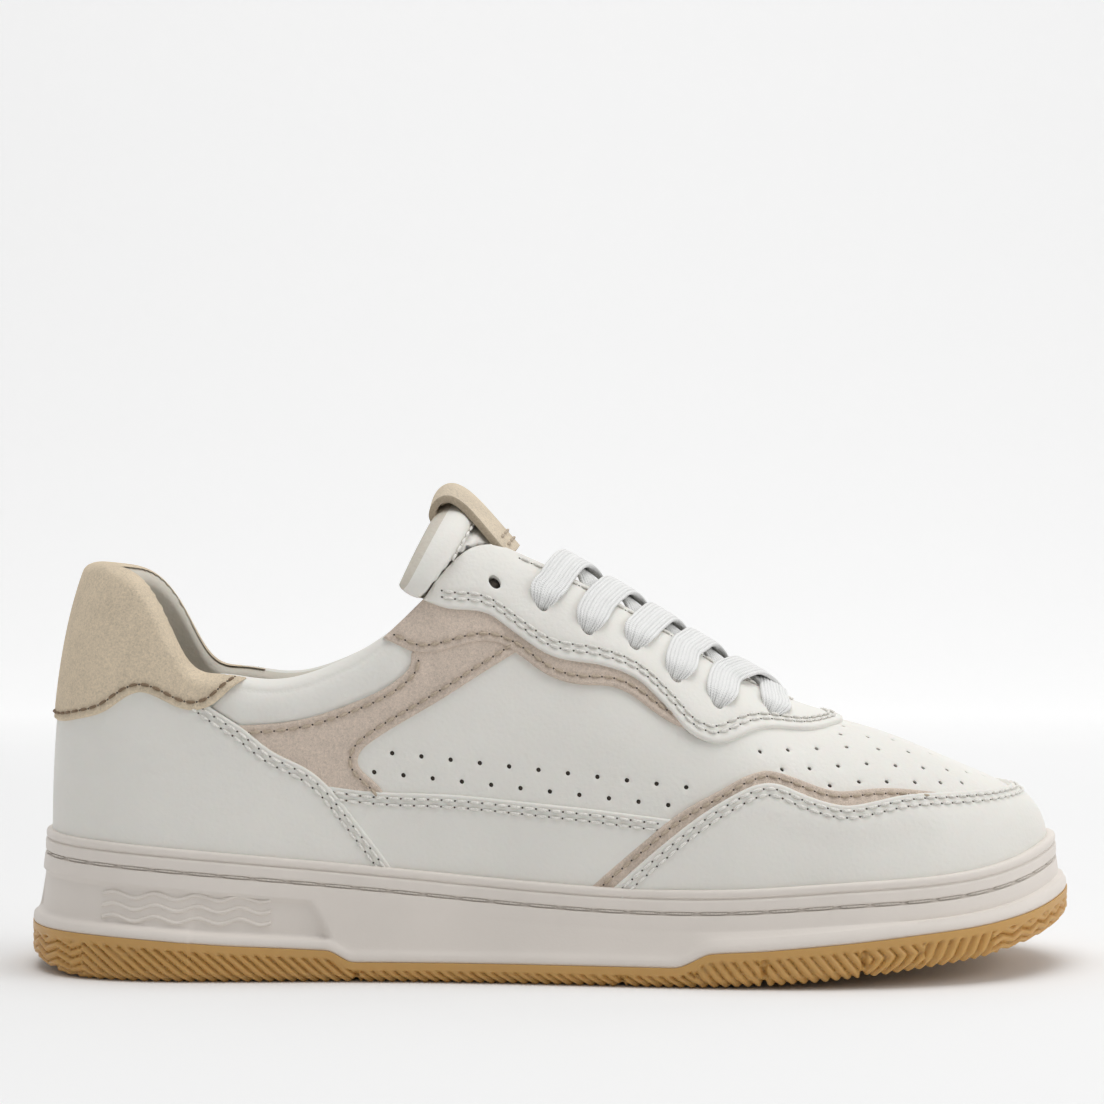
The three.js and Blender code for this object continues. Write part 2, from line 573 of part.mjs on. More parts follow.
// Outside faces of the sole, bottom to top: [how far out from the sole line, height].
const TREAD_FACE = [[3.8, groundZ], [6, above(groundZ, 2)], [6.8, gumZ]];
const WALL_FACE = [[6.8, above(gumZ, GAP)], [6.4, above(gumZ, 3)], [4, above(rimZ, -9)],
  [3.4, above(rimZ, -7)]];
const GROOVE_FACE = [[2, above(rimZ, -6.6)], [2, above(rimZ, -5)]];
const BEAD_FACE = [[3, above(rimZ, -4.6)], [2.6, rimZ]];
const block = (profile) => loft(profile.map(([out, heightAt]) => soleLoop(out, heightAt)));
add('outsole', block(TREAD_FACE), GUM_RUBBER);
const well = block([[0.4, wellZ], [0.4, above(rimZ, 5)]]);
add('cup_sole', block([...WALL_FACE, ...GROOVE_FACE, ...BEAD_FACE]).subtract(well), WHITE_RUBBER);

const INSIDE_WELL = -0.2;
const BOARD_THICK = 2;
const FOOTBED_INSET = 5.4;
const FOOTBED_TOP = -1.8; // from the rim of the cup sole
const slab = (out, from, to) => block([[out, from], [out, to]]);
add('midsole_foam', slab(INSIDE_WELL, above(wellZ, GAP), above(rimZ, -BOARD_TOP - BOARD_THICK - GAP)),
  FOAM);
add('insole_board', slab(INSIDE_WELL, above(rimZ, -BOARD_TOP - BOARD_THICK), above(rimZ, -BOARD_TOP)),
  BOARD);
add('footbed', slab(-FOOTBED_INSET, above(rimZ, -TUCK), above(rimZ, FOOTBED_TOP)), TEXTILE);

// Stitching thread lying in the groove round the cup sole.
function threadRing() {
  const SIDES = 6;
  const RADIUS = 0.5;
  const OUT = 2.9;
  const DROP = 5.8; // below the rim
  const loops = [];
  for (let k = 0; k < SIDES; k += 1) {
    const turn = (k / SIDES) * 2 * Math.PI;
    loops.push(soleLoop(OUT + RADIUS * Math.cos(turn), above(rimZ, RADIUS * Math.sin(turn) - DROP)));
  }
  const columns = ring.length;
  const faces = [];
  for (let k = 0; k < SIDES; k += 1) {
    const next = (k + 1) % SIDES;
    for (let i = 0; i < columns; i += 1) {
      const j = (i + 1) % columns;
      faces.push([k * columns + i, k * columns + j, next * columns + j]);
      faces.push([k * columns + i, next * columns + j, next * columns + i]);
    }
  }
  return solid(geometryOf(loops.flat(), faces));
}
add('sole_stitching', threadRing(), LACE_WHITE);

// ---- tongue ----------------------------------------------------------------------------------------
// Front face along the middle, from under the vamp to the top: [x, z].
const TONGUE_LINE = new THREE.SplineCurve(vectors([[72, 66.4], [60, 71.6], [48, 78.4], [32, 88.4],
  [18, 97.4], [5, 104.8], [-4, 110.4], [-12, 117], [-19, 123.6], [-24.5, 129.2], [-28.5, 134]]));
const TONGUE_SPLIT = 0.66; // where the free top begins, as a share of the length
const TONGUE_STEPS = 10;
const TONGUE_ACROSS = 6;

// A point of the tongue: along 0..1, across -1..1, depth behind the front face. Its sides curl
// down square to the front face low on the tongue, and hang more nearly upright at the free top.
function tonguePoint(along, across, depth) {
  const p = TONGUE_LINE.getPoint(along);
  const t = TONGUE_LINE.getTangent(along);
  const radius = 24 + 8 * along;
  const half = 0.72 + 0.38 * along + 0.3 * smoothstep(along, 0.75, 1);
  const turn = half * across;
  const curl = radius * (1 - Math.cos(turn));
  const normal = new THREE.Vector2(-t.y, t.x).multiplyScalar(t.x > 0 ? 1 : -1);
  const upright = 0.75 * smoothstep(along, 0.55, 0.95);
  const fall = new THREE.Vector2(0, 1).lerp(normal, 1 - upright).normalize();
  const y = spineY(p.x) + (radius - depth * 0.5) * Math.sin(turn);
  return new THREE.Vector3(p.x - normal.x * depth - fall.x * curl, y,
    p.y - normal.y * depth - fall.y * curl);
}

function tongueSlab(from, to, front, back) {
  const rows = [];
  for (let i = 0; i <= TONGUE_STEPS; i += 1) {
    const along = from + ((to - from) * i) / TONGUE_STEPS;
    const section = [];
    for (let k = 0; k <= TONGUE_ACROSS; k += 1) {
      section.push(tonguePoint(along, (2 * k) / TONGUE_ACROSS - 1, front));
    }
    for (let k = TONGUE_ACROSS; k >= 0; k -= 1) {
      section.push(tonguePoint(along, (2 * k) / TONGUE_ACROSS - 1, back));
    }
    rows.push(section);
  }
  const wide = rows[0].length;
  const faces = [];
  for (let i = 0; i < TONGUE_STEPS; i += 1) {
    for (let k = 0; k < wide; k += 1) {
      const [a, b] = [i * wide + k, i * wide + ((k + 1) % wide)];
      faces.push([a, b, b + wide], [a, b + wide, a + wide]);
    }
  }
  const end = TONGUE_STEPS * wide;
  for (let k = 0; k < TONGUE_ACROSS; k += 1) {
    const [a, b, c, d] = [k, k + 1, wide - 2 - k, wide - 1 - k];
    faces.push([a, c, b], [a, d, c]);
    faces.push([end + a, end + b, end + c], [end + a, end + c, end + d]);
  }
  return solid(geometryOf(rows.flat(), faces));
}

const insideOfLining = liningFace(LINING[0] - GAP);
const facingRoom = skin(insideOfLining, TOP_LAYER[1] + GAP).subtract(aboveLine(GAP))
  .subtract(throat);
// The free top turns about the front face at the split, toe-ward and back to these angles.
const SPLIT_GAP = 0.013;
const TONGUE_SWING = [-12, -8, -4, -2, 0, 2, 5, 8, 13, 18];
const pivot = TONGUE_LINE.getPoint(TONGUE_SPLIT);
function turnedAboutPivot(body, degrees) {
  const g = toGeometry(body);
  g.translate(-pivot.x, 0, -pivot.y);
  g.rotateY((degrees * Math.PI) / 180);
  g.translate(pivot.x, 0, pivot.y);
  return solid(g);
}
// What the free top stays clear of all through its travel: the facings, and the tongue below it.
const lowerTongueRoom = tongueSlab(0.3, TONGUE_SPLIT - SPLIT_GAP, -GAP, 7);
const upperRoom = TONGUE_SWING.flatMap((turn) => (turn < 0 ? [facingRoom, lowerTongueRoom]
  : [facingRoom]).map((room) => turnedAboutPivot(room, -turn)));
function addTongue(name, lowerDepths, upperDepths, look) {
  const lower = tongueSlab(0, TONGUE_SPLIT - SPLIT_GAP, ...lowerDepths);
  const upper = tongueSlab(TONGUE_SPLIT + SPLIT_GAP, 1, ...upperDepths);
  add(`${name}_lower`, largest(lower.subtract(facingRoom).subtract(laceRoom)), look);
  add(`${name}_upper`, largest(upperRoom.reduce((body, room) => body.subtract(room), upper)), look);
}
addTongue('tongue_face', [0, 1.2], [0, 1.2], WHITE_LEATHER);
addTongue('tongue_foam', [1.5, 5], [1.5, 8], FOAM);
addTongue('tongue_lining', [5.3, 6.3], [8.3, 9.3], TEXTILE);

// Leather tab folded over the top of the tongue, drawn in side view.
const TAB_HALF = 15;
const tabOuter = curved([[-36, 127.4], [-35.4, 133], [-32, 137.4], [-27.4, 138.8], [-22.4, 137.4],
  [-15.7, 130.8], [-9.2, 121.9]]);
const tabInner = curved([[-11, 120.7], [-17.3, 129.2], [-23.3, 135.2], [-27.4, 136.5],
  [-30.7, 135.5], [-33.4, 132], [-34, 127.4]]);
const tongueRoom = tongueSlab(TONGUE_SPLIT + SPLIT_GAP, 1, -GAP, 9.3 + GAP);
const beyondTongue = tongueRoom.translate([-GAP, 0, GAP]);
const tab = sideCutter([...tabOuter, ...tabInner], spineY(-30) - TAB_HALF, spineY(-30) + TAB_HALF);
add('tongue_tab', largest(tab.subtract(tongueRoom).subtract(beyondTongue)), TAN_SUEDE);

add('lace', lace, LACE_WHITE);

export default shoe;
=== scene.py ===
"""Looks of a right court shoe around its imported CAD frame. Lengths are worked out in millimetres and
scaled to metres as each mesh is made: +X to the toe, -Y the lateral side, +Z up."""

import math

import bpy
import numpy as np
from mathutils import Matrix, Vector
from mathutils.geometry import delaunay_2d_cdt


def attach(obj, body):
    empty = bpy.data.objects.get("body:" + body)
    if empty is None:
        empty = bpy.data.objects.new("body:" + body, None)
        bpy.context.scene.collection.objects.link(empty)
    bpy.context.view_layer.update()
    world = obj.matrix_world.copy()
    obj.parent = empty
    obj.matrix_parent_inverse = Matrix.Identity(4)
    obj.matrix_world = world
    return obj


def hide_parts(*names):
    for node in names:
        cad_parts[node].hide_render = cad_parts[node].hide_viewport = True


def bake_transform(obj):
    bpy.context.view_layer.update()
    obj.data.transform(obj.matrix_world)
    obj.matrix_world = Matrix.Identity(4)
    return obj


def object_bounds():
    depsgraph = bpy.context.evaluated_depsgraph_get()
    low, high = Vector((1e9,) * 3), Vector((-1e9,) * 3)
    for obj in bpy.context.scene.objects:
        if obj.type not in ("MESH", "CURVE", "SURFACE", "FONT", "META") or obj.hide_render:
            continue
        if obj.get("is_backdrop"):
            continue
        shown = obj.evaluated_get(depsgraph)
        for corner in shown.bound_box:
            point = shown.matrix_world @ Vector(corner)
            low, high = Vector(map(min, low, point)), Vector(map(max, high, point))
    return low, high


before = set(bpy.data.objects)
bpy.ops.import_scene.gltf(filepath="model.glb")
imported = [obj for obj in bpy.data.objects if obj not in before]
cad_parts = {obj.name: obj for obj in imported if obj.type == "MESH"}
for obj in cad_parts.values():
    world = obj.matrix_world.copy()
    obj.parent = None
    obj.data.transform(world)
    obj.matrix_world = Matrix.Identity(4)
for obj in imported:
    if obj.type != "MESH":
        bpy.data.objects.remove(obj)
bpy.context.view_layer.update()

# ---- driving dimensions, in millimetres ---------------------------------------------------------
MM = 0.001
HEEL_X, TOE_X = -143.0, 143.4  # leather at the sole line
SPINE_HEEL_X, SPINE_TOE_X, SPINE_BLEND = -105.0, 90.0, 28.0
RISE_POWER, WIDTH_POWER, TOE_WIDTH_POWER = 2.5, 2.3, 4.2
TUCK = 6.0  # how far the last's foot lies below the rim of the sole
COLLAR_PAD = 5.6
LACE_WIDTH, LACE_THICK = 9.4, 1.9
LATERAL = [(-138, -20), (-122, -31.5), (-95, -35.5), (-55, -35), (-10, -38.5), (35, -45.5),
           (70, -48.5), (100, -44), (124, -32), (138, -15)]
MEDIAL = [(-138, 19.5), (-122, 30.5), (-95, 33.5), (-55, 31), (-10, 31.5), (35, 39), (70, 46),
          (100, 45), (124, 36), (138, 21.5)]
TOE_Y = 4.0


# ---- smooth curves ------------------------------------------------------------------------------
def spline(points):
    """Natural cubic spline through (x, y) points as a function, level beyond its ends."""
    xs, ys = np.array(points, float).T
    n, h = len(xs), np.diff(xs)
    a, b = np.eye(n), np.zeros(n)
    for i in range(1, n - 1):
        a[i, i - 1], a[i, i], a[i, i + 1] = h[i - 1], 2 * (h[i - 1] + h[i]), h[i]
        b[i] = 6 * ((ys[i + 1] - ys[i]) / h[i] - (ys[i] - ys[i - 1]) / h[i - 1])
    m = np.linalg.solve(a, b)

    def value(at):
        x = np.clip(np.asarray(at, float), xs[0], xs[-1])
        i = np.clip(np.searchsorted(xs, x) - 1, 0, n - 2)
        left, right = xs[i + 1] - x, x - xs[i]
        return ((m[i] * left**3 + m[i + 1] * right**3) / (6 * h[i])
                + (ys[i] / h[i] - m[i] * h[i] / 6) * left
                + (ys[i + 1] / h[i] - m[i + 1] * h[i] / 6) * right)

    return value


def smoothstep(x, start, end):
    t = np.clip((np.asarray(x, float) - start) / (end - start), 0, 1)
    return t * t * (3 - 2 * t)


def along(points, step=0.8):
    """The points joined by a smooth curve, resampled about every step millimetres."""
    p = np.array(points, float)
    lengths = np.maximum(np.linalg.norm(np.diff(p, axis=0), axis=1), 1e-6)
    t = np.concatenate([[0], np.cumsum(lengths)])
    curve = [spline(np.column_stack([t, p[:, k]])) for k in range(p.shape[1])]
    at = np.linspace(0, t[-1], max(int(t[-1] / step), 2) + 1)
    return np.column_stack([c(at) for c in curve])


def straight(points, step=0.8):
    """A polyline resampled about every step millimetres, with its corners kept."""
    p = np.array(points, float)
    runs = []
    for a, b in zip(p[:-1], p[1:]):
        n = max(int(np.linalg.norm(b - a) / step), 1)
        runs.append(a + (b - a) * (np.arange(n) / n)[:, None])
    return np.vstack(runs + [p[-1:]])


# ---- the lasted surface -------------------------------------------------------------------------
MID_X, HALF_X = (HEEL_X + TOE_X) / 2, (TOE_X - HEEL_X) / 2


def angle_of(x):
    return np.arccos(np.clip((MID_X - np.asarray(x, float)) / HALF_X, -1, 1))


_loop = ([(0.0, 0.0)] + [(float(angle_of(x)), y) for x, y in LATERAL] + [(math.pi, TOE_Y)]
         + [(2 * math.pi - float(angle_of(x)), y) for x, y in reversed(MEDIAL)])
loop_y = spline([(a - 2 * math.pi, y) for a, y in _loop[-4:]] + _loop
                + [(a + 2 * math.pi, y) for a, y in _loop[:4]])
spine_y = spline([(-105, 0), (-50, -2), (0, -2.5), (50, -0.5), (90, 2)])
rim_z = spline([(-144, 39.6), (-88, 35), (-43, 31), (19, 26.5), (50, 26.6), (81, 28.5), (130, 33.5),
                (144, 37.8)])
ridge_z = spline([(-145, 140), (-90, 140), (-60, 139), (-35, 133), (-17, 125), (-2, 117.2),
                  (18, 105.5), (32, 96.5), (48, 86.5), (60, 79.5), (73, 73.4), (84, 70.3),
                  (102, 64.6), (120, 57.4), (133, 53.4), (146, 50.5)])
TOP_LINE = [(-150, 121), (-129.2, 117), (-118.7, 113.5), (-111.5, 104.6), (-103.9, 90.5),
            (-92.6, 85.5), (-78.9, 83.9), (-62.2, 87.9), (-46.6, 96.6), (-36.5, 105.6),
            (-28.6, 115), (-22.8, 119.1), (-18, 119.9), (-9.7, 118.5)]
top_line_z = spline(TOP_LINE)


def ramp(t):
    k = SPINE_BLEND
    return np.where(t < -k, 0, np.where(t > k, t, (t + k) ** 2 / (4 * k)))


def spine_x(x):
    return SPINE_HEEL_X + ramp(x - SPINE_HEEL_X) - ramp(x - SPINE_TOE_X)


def station(angle):
    """Sole-line point, spine point, section power and height of the last's foot at each angle."""
    angle = np.mod(angle, 2 * math.pi)
    x, y = MID_X - HALF_X * np.cos(angle), loop_y(angle)
    cx = spine_x(x)
    cy = spine_y(cx)
    nose = np.maximum(x - cx, 0) / np.hypot(x - cx, y - cy)
    return x, y, cx, cy, WIDTH_POWER + TOE_WIDTH_POWER * nose**2, rim_z(x) - TUCK


def surface(angle, rise):
    """Points of the last's surface: angle round the sole line, rise 0 at its foot to 1 at its ridge."""
    x, y, cx, cy, power, low = station(angle)
    reach = np.clip(1 - np.clip(rise, 0, 1) ** RISE_POWER, 0, 1) ** (1 / power)
    px = cx + (x - cx) * reach
    return np.stack([px, cy + (y - cy) * reach, low + (ridge_z(px) - low) * rise], -1)


def normal_at(angle, rise):
    e = 1e-4
    r = np.clip(rise, 2e-3, 1 - 4e-3)
    around = surface(angle + e, r) - surface(angle - e, r)
    up = surface(angle, r + e) - surface(angle, r - e)
    n = np.cross(around, up)
    return n / np.linalg.norm(n, axis=-1, keepdims=True)


def off_surface(angle, rise, depth):
    return surface(angle, rise) + normal_at(angle, rise) * np.asarray(depth, float)[..., None]


def rise_of(angle, z):
    """Rise at a height on each angle's profile."""
    x, _, _, _, _, low = station(angle)
    rise = np.zeros(np.shape(z))
    for _ in range(8):
        px = surface(angle, rise)[..., 0]
        rise = np.clip((z - low) / (ridge_z(px) - low), 0, 1)
    return rise


def from_side(points, lateral=True):
    """Angle and rise of the surface seen from the side at (x, z) points."""
    x, z = np.array(points, float).T
    lo, hi = np.zeros(len(x)), np.full(len(x), math.pi)
    for _ in range(32):
        mid = (lo + hi) / 2
        angle = mid if lateral else 2 * math.pi - mid
        low = station(angle)[5]
        rise = np.clip((z - low) / (ridge_z(x) - low), 0, 1)
        left = surface(angle, rise)[:, 0] < x
        lo, hi = np.where(left, mid, lo), np.where(left, hi, mid)
    return (lo if lateral else 2 * math.pi - lo), rise


def over_plan(points):
    """Angle and rise of the surface over (x, y) points."""
    x, y = np.array(points, float).T
    lateral = y < spine_y(spine_x(x))
    lo, hi = np.zeros(len(x)), np.full(len(x), math.pi)
    for _ in range(32):
        mid = (lo + hi) / 2
        sx, sy, cx, cy, _, _ = station(np.where(lateral, mid, 2 * math.pi - mid))
        side = (sx - cx) * (y - cy) - (sy - cy) * (x - cx)
        beyond = np.where(lateral, side, -side) < 0
        lo, hi = np.where(beyond, lo, mid), np.where(beyond, mid, hi)
    angle = np.where(lateral, lo, 2 * math.pi - lo)
    sx, sy, cx, cy, power, _ = station(angle)
    reach = np.clip(np.hypot(x - cx, y - cy) / np.hypot(sx - cx, sy - cy), 0, 1)
    return angle, (1 - reach**power) ** (1 / RISE_POWER)


# ---- charts: flat coordinates in which panels are outlined ---------------------------------------
# "skirt": length round the sole line from the middle of the heel (centre 0) or of the toe (centre pi),
# rising from heel over the lateral side to toe and on over the medial side; and length up the profile.
# "top": length along the ridge, and length down the section from the ridge, medial positive.
SAMPLES, SHARES, SKIRT_COLUMNS = 160, 399, 540


def bilinear(table, i, j):
    """Value of a table at row i and column j, both of which may lie between whole numbers."""
    i = np.clip(i, 0, table.shape[0] - 1.0001)
    j = np.clip(j, 0, table.shape[1] - 1.0001)
    a, b = i.astype(int), j.astype(int)
    u, v = i - a, j - b
    return ((table[a, b] * (1 - v) + table[a, b + 1] * v) * (1 - u)
            + (table[a + 1, b] * (1 - v) + table[a + 1, b + 1] * v) * u)


def inverse_rows(table):
    """For each row of rising values, the column reached at even shares of the row's last value."""
    shares = np.linspace(0, 1, SHARES + 1)
    columns = np.arange(table.shape[1])
    return np.array([np.interp(shares * row[-1], row, columns) for row in table])


def run_lengths(points):
    """Length along each row of points up to each of them."""
    steps = np.linalg.norm(np.diff(points, axis=-2), axis=-1)
    return np.concatenate([np.zeros(steps.shape[:-1] + (1,)), np.cumsum(steps, axis=-1)], axis=-1)


skirt_angles = np.linspace(-math.pi, 2 * math.pi, SKIRT_COLUMNS + 1)
skirt_rises = 1 - np.linspace(1, 0, SAMPLES + 1) ** WIDTH_POWER
skirt_points = surface(skirt_angles[:, None], np.tile(skirt_rises, (SKIRT_COLUMNS + 1, 1)))
skirt_up = run_lengths(skirt_points)
skirt_down = inverse_rows(skirt_up)
skirt_round = run_lengths(skirt_points[:, 0])
skirt_round -= np.interp(0, skirt_angles, skirt_round)


def angle_index(angle):
    return (np.asarray(angle, float) + math.pi) / (3 * math.pi) * SKIRT_COLUMNS


def skirt_of(angle, rise, centre=0.0):
    """Skirt coordinates of places given by angle and rise."""
    angle = np.asarray(angle, float)
    if not centre:
        angle = np.where(angle > math.pi, angle - 2 * math.pi, angle)
    up = (1 - np.clip(1 - np.asarray(rise, float), 0, 1) ** (1 / WIDTH_POWER)) * SAMPLES
    turn = np.interp(angle, skirt_angles, skirt_round) - np.interp(centre, skirt_angles, skirt_round)
    return np.column_stack([turn, bilinear(skirt_up, angle_index(angle), up)])


def skirt_place(p, centre=0.0):
    """Angle and rise at skirt coordinates."""
    start = np.interp(centre, skirt_angles, skirt_round)
    angle = np.interp(p[:, 0] + start, skirt_round, skirt_angles)
    i = angle_index(angle)
    whole = bilinear(skirt_up, i, np.full(len(i), float(SAMPLES)))
    up = bilinear(skirt_down, i, np.clip(p[:, 1] / whole, 0, 1) * SHARES)
    return angle, 1 - np.clip(1 - up / SAMPLES, 0, 1) ** WIDTH_POWER


def nose_place(p):
    """Angle and rise at skirt coordinates measured from the middle of the toe."""
    return skirt_place(p, math.pi)


TOP_FROM, TOP_TO = -70.0, 141.0
top_x = np.linspace(TOP_FROM, TOP_TO, 212)
top_share = 1 - (1 - np.linspace(0, 1, SAMPLES + 1)) ** 3
top_middle = spine_y(spine_x(top_x))
ridge_run = run_lengths(np.column_stack([top_x, ridge_z(top_x)]))
top_edges, top_across, top_back = {}, {}, {}
for lateral_side in (True, False):
    foot = angle_of(top_x) if lateral_side else 2 * math.pi - angle_of(top_x)
    top_edges[lateral_side] = loop_y(foot)
    across_y = top_middle[:, None] + (top_edges[lateral_side] - top_middle)[:, None] * top_share
    wide_x = np.broadcast_to(top_x[:, None], across_y.shape)
    section = surface(*over_plan(np.column_stack([wide_x.ravel(), across_y.ravel()])))
    top_across[lateral_side] = run_lengths(section.reshape(*across_y.shape, 3))
    top_back[lateral_side] = inverse_rows(top_across[lateral_side])


def top_of(angle, rise):
    """Top coordinates of places given by angle and rise."""
    at = surface(angle, rise)
    x, y = at[:, 0], at[:, 1]
    middle = np.interp(x, top_x, top_middle)
    result = np.zeros(len(x))
    for side, sign in ((True, -1), (False, 1)):
        share = np.clip((y - middle) / (np.interp(x, top_x, top_edges[side]) - middle), 0, 1)
        column = (1 - (1 - share) ** (1 / 3)) * SAMPLES
        run = sign * bilinear(top_across[side], x - TOP_FROM, column)
        result = np.where((y < middle) == side, run, result)
    return np.column_stack([np.interp(x, top_x, ridge_run), result])


def top_place(p):
    """Angle and rise at top coordinates."""
    x = np.interp(p[:, 0], ridge_run, top_x)
    middle = np.interp(x, top_x, top_middle)
    y = np.zeros(len(x))
    for side, sign in ((True, -1), (False, 1)):
        i = x - TOP_FROM
        whole = bilinear(top_across[side], i, np.full(len(i), float(SAMPLES)))
        column = bilinear(top_back[side], i, np.clip(sign * p[:, 1] / whole, 0, 1) * SHARES)
        share = 1 - (1 - column / SAMPLES) ** 3
        here = middle + (np.interp(x, top_x, top_edges[side]) - middle) * share
        y = np.where((p[:, 1] < 0) == side, here, y)
    return over_plan(np.column_stack([x, y]))


def seen_from_side(points, lateral=True, depth=0.0):
    """Angle and rise of the places whose face, lifted by a depth, shows at (x, z) points."""
    target = np.array(points, float)
    guess = target.copy()
    for _ in range(5 if depth else 1):
        place = from_side(guess, lateral)
        guess += target - off_surface(*place, np.full(len(target), depth))[:, [0, 2]]
    return from_side(guess if depth else target, lateral)


def on_skirt(points, lateral=True, depth=0.0, centre=0.0):
    return skirt_of(*seen_from_side(points, lateral, depth), centre)


def on_top(points, lateral=True, depth=0.0):
    return top_of(*seen_from_side(points, lateral, depth))


def plan_on_top(points):
    return top_of(*over_plan(points))


# ---- meshes -------------------------------------------------------------------------------------
def make_mesh(name, verts, faces, *materials, sharp=50):
    """An object from vertices in millimetres, smooth but for edges sharper than an angle."""
    mesh = bpy.data.meshes.new(name)
    mesh.from_pydata(np.asarray(verts, float) * MM, [], faces)
    mesh.validate()
    mesh.update()
    mesh.shade_smooth()
    if sharp:
        mesh.set_sharp_from_angle(angle=math.radians(sharp))
    for m in materials:
        mesh.materials.append(m)
    obj = bpy.data.objects.new(name, mesh)
    bpy.context.scene.collection.objects.link(obj)
    return obj


def inside(points, outline):
    """Which points lie inside a closed outline, by crossings."""
    a, b = outline, np.roll(outline, -1, axis=0)
    found = np.zeros(len(points), bool)
    for start in range(0, len(points), 4000):
        p = points[start:start + 4000, None, :]
        cross = (a[:, 1] > p[..., 1]) != (b[:, 1] > p[..., 1])
        with np.errstate(divide="ignore", invalid="ignore"):
            x = a[:, 0] + (p[..., 1] - a[:, 1]) / (b[:, 1] - a[:, 1]) * (b[:, 0] - a[:, 0])
        found[start:start + 4000] = (cross & (p[..., 0] < x)).sum(1) % 2 == 1
    return found


def distance(points, line, closed=False):
    """Distance from each point to a polyline."""
    a = line if closed else line[:-1]
    b = np.roll(line, -1, axis=0) if closed else line[1:]
    d = b - a
    best = np.full(len(points), 1e9)
    for start in range(0, len(points), 4000):
        p = points[start:start + 4000, None, :]
        t = np.clip(((p - a) * d).sum(-1) / np.maximum((d * d).sum(-1), 1e-12), 0, 1)
        best[start:start + 4000] = np.linalg.norm(p - a - d * t[..., None], axis=-1).min(1)
    return best


def beside(line, by, closed=False):
    """A polyline moved sideways."""
    if closed:
        t = np.roll(line, -1, axis=0) - np.roll(line, 1, axis=0)
    else:
        t = np.gradient(line, axis=0)
    t /= np.maximum(np.linalg.norm(t, axis=1, keepdims=True), 1e-9)
    return line + np.column_stack([-t[:, 1], t[:, 0]]) * by


def circle(centre, radius, sides):
    turn = np.arange(sides) * 2 * math.pi / sides
    return np.asarray(centre) + radius * np.column_stack([np.cos(turn), np.sin(turn)])


FILLET_STEPS = (0.14, 0.4, 0.75, 1.1)
SEAM_STEPS = (-1.5, -0.75, 0.0, 0.75, 1.5)
SEAM_WIDTH = 0.8


def trigrid(low, high, step):
    """Evenly spaced points in staggered rows over a box."""
    rows = []
    for k, height in enumerate(np.arange(low[1], high[1], step * 0.87)):
        across = np.arange(low[0] + (k % 2) * step / 2, high[0], step)
        rows.append(np.column_stack([across, np.full(len(across), height)]))
    return np.vstack(rows)


def mesh_points(outline, rings, seams, step, fillet, rows):
    """Points to mesh a panel with: a grid, and closer rows by its edge, seams and holes."""
    grid = trigrid(outline.min(0), outline.max(0), step)
    grid = grid[inside(grid, outline)]
    grid = grid[distance(grid, outline, True) > 0.6 * step]
    for seam in seams:
        grid = grid[distance(grid, seam) > SEAM_STEPS[-1] + 0.4 * step]
    extra = [beside(outline, e * fillet, closed=True) for e in FILLET_STEPS if fillet]
    extra += [beside(outline, e, closed=True) for e in rows]
    extra += [beside(seam, e) for seam in seams for e in SEAM_STEPS]
    extra += [centre + (ring - centre) * 1.5 for centre, ring in ((r.mean(0), r) for r in rings)]
    if not extra:
        return grid
    extra = np.vstack(extra)
    extra = extra[inside(extra, outline)]
    return np.vstack([grid, extra[distance(extra, outline, True) > 0.1]])


def panel(name, outline, place, top, thick, material, step=1.7, fillet=0.8, holes=(), seams=(),
          groove=0.27, hole_sides=12, rows=()):
    """A closed sheet cut to an outline in a chart and laid on the last, its top at a depth given
    by a number or a function of places, with rounded edges, holes and stitched grooves."""
    outline = np.asarray(outline, float)
    after = np.roll(outline, -1, axis=0)
    if (outline[:, 0] * after[:, 1] - after[:, 0] * outline[:, 1]).sum() < 0:
        outline = outline[::-1]
    rings = [circle(c, r, hole_sides) for c, r in holes]
    free = mesh_points(outline, rings, seams, step, fillet, rows)
    for c, r in holes:
        free = free[np.linalg.norm(free - c, axis=1) > r + 0.2]
    points = np.vstack([outline, *rings, free])
    edges, start = [], 0
    for loop_points in (outline, *rings):
        n = len(loop_points)
        edges += [(start + i, start + (i + 1) % n) for i in range(n)]
        start += n
    verts, _, tris, *_ = delaunay_2d_cdt([tuple(p) for p in points], edges, [], 0, 1e-5)
    flat = np.array([tuple(v) for v in verts])
    tris = np.array([t for t in tris if len(t) == 3])
    middle = flat[tris].mean(1)
    keep = inside(middle, outline)
    for ring in rings:
        keep &= ~inside(middle, ring)
    used, tris = np.unique(tris[keep], return_inverse=True)
    flat, tris = flat[used], tris.reshape(-1, 3)

    angle, rise = place(flat)
    edge = distance(flat, outline, True)
    sheet_depth = top(flat, surface(angle, rise)) if callable(top) else np.full(len(flat), float(top))
    depth = sheet_depth.copy()
    if fillet:
        inner = np.clip(1 - edge / fillet, 0, 1)
        depth -= fillet * (1 - np.sqrt(1 - inner**2)) * 0.8
    for seam in seams:
        depth -= groove * np.exp(-((distance(flat, seam) / SEAM_WIDTH) ** 2))
    for c, r in holes:
        away = np.linalg.norm(flat - c, axis=1) - r
        depth -= 0.22 * np.clip(1 - away / 0.45, 0, 1) ** 2
    out = off_surface(angle, rise, depth)
    base = off_surface(angle, rise, sheet_depth - thick)
    faces_out = np.cross(out[tris[:, 1]] - out[tris[:, 0]], out[tris[:, 2]] - out[tris[:, 0]])
    if (faces_out * normal_at(angle, rise)[tris[:, 0]]).sum() < 0:
        tris = tris[:, ::-1]
    n = len(flat)
    pairs = {(int(t[i]), int(t[(i + 1) % 3])) for t in tris for i in range(3)}
    walls = [(b, a, a + n, b + n) for a, b in pairs if (b, a) not in pairs]
    faces = tris.tolist() + (tris[:, ::-1] + n).tolist() + walls
    return make_mesh(name, np.vstack([out, base]), faces, material)


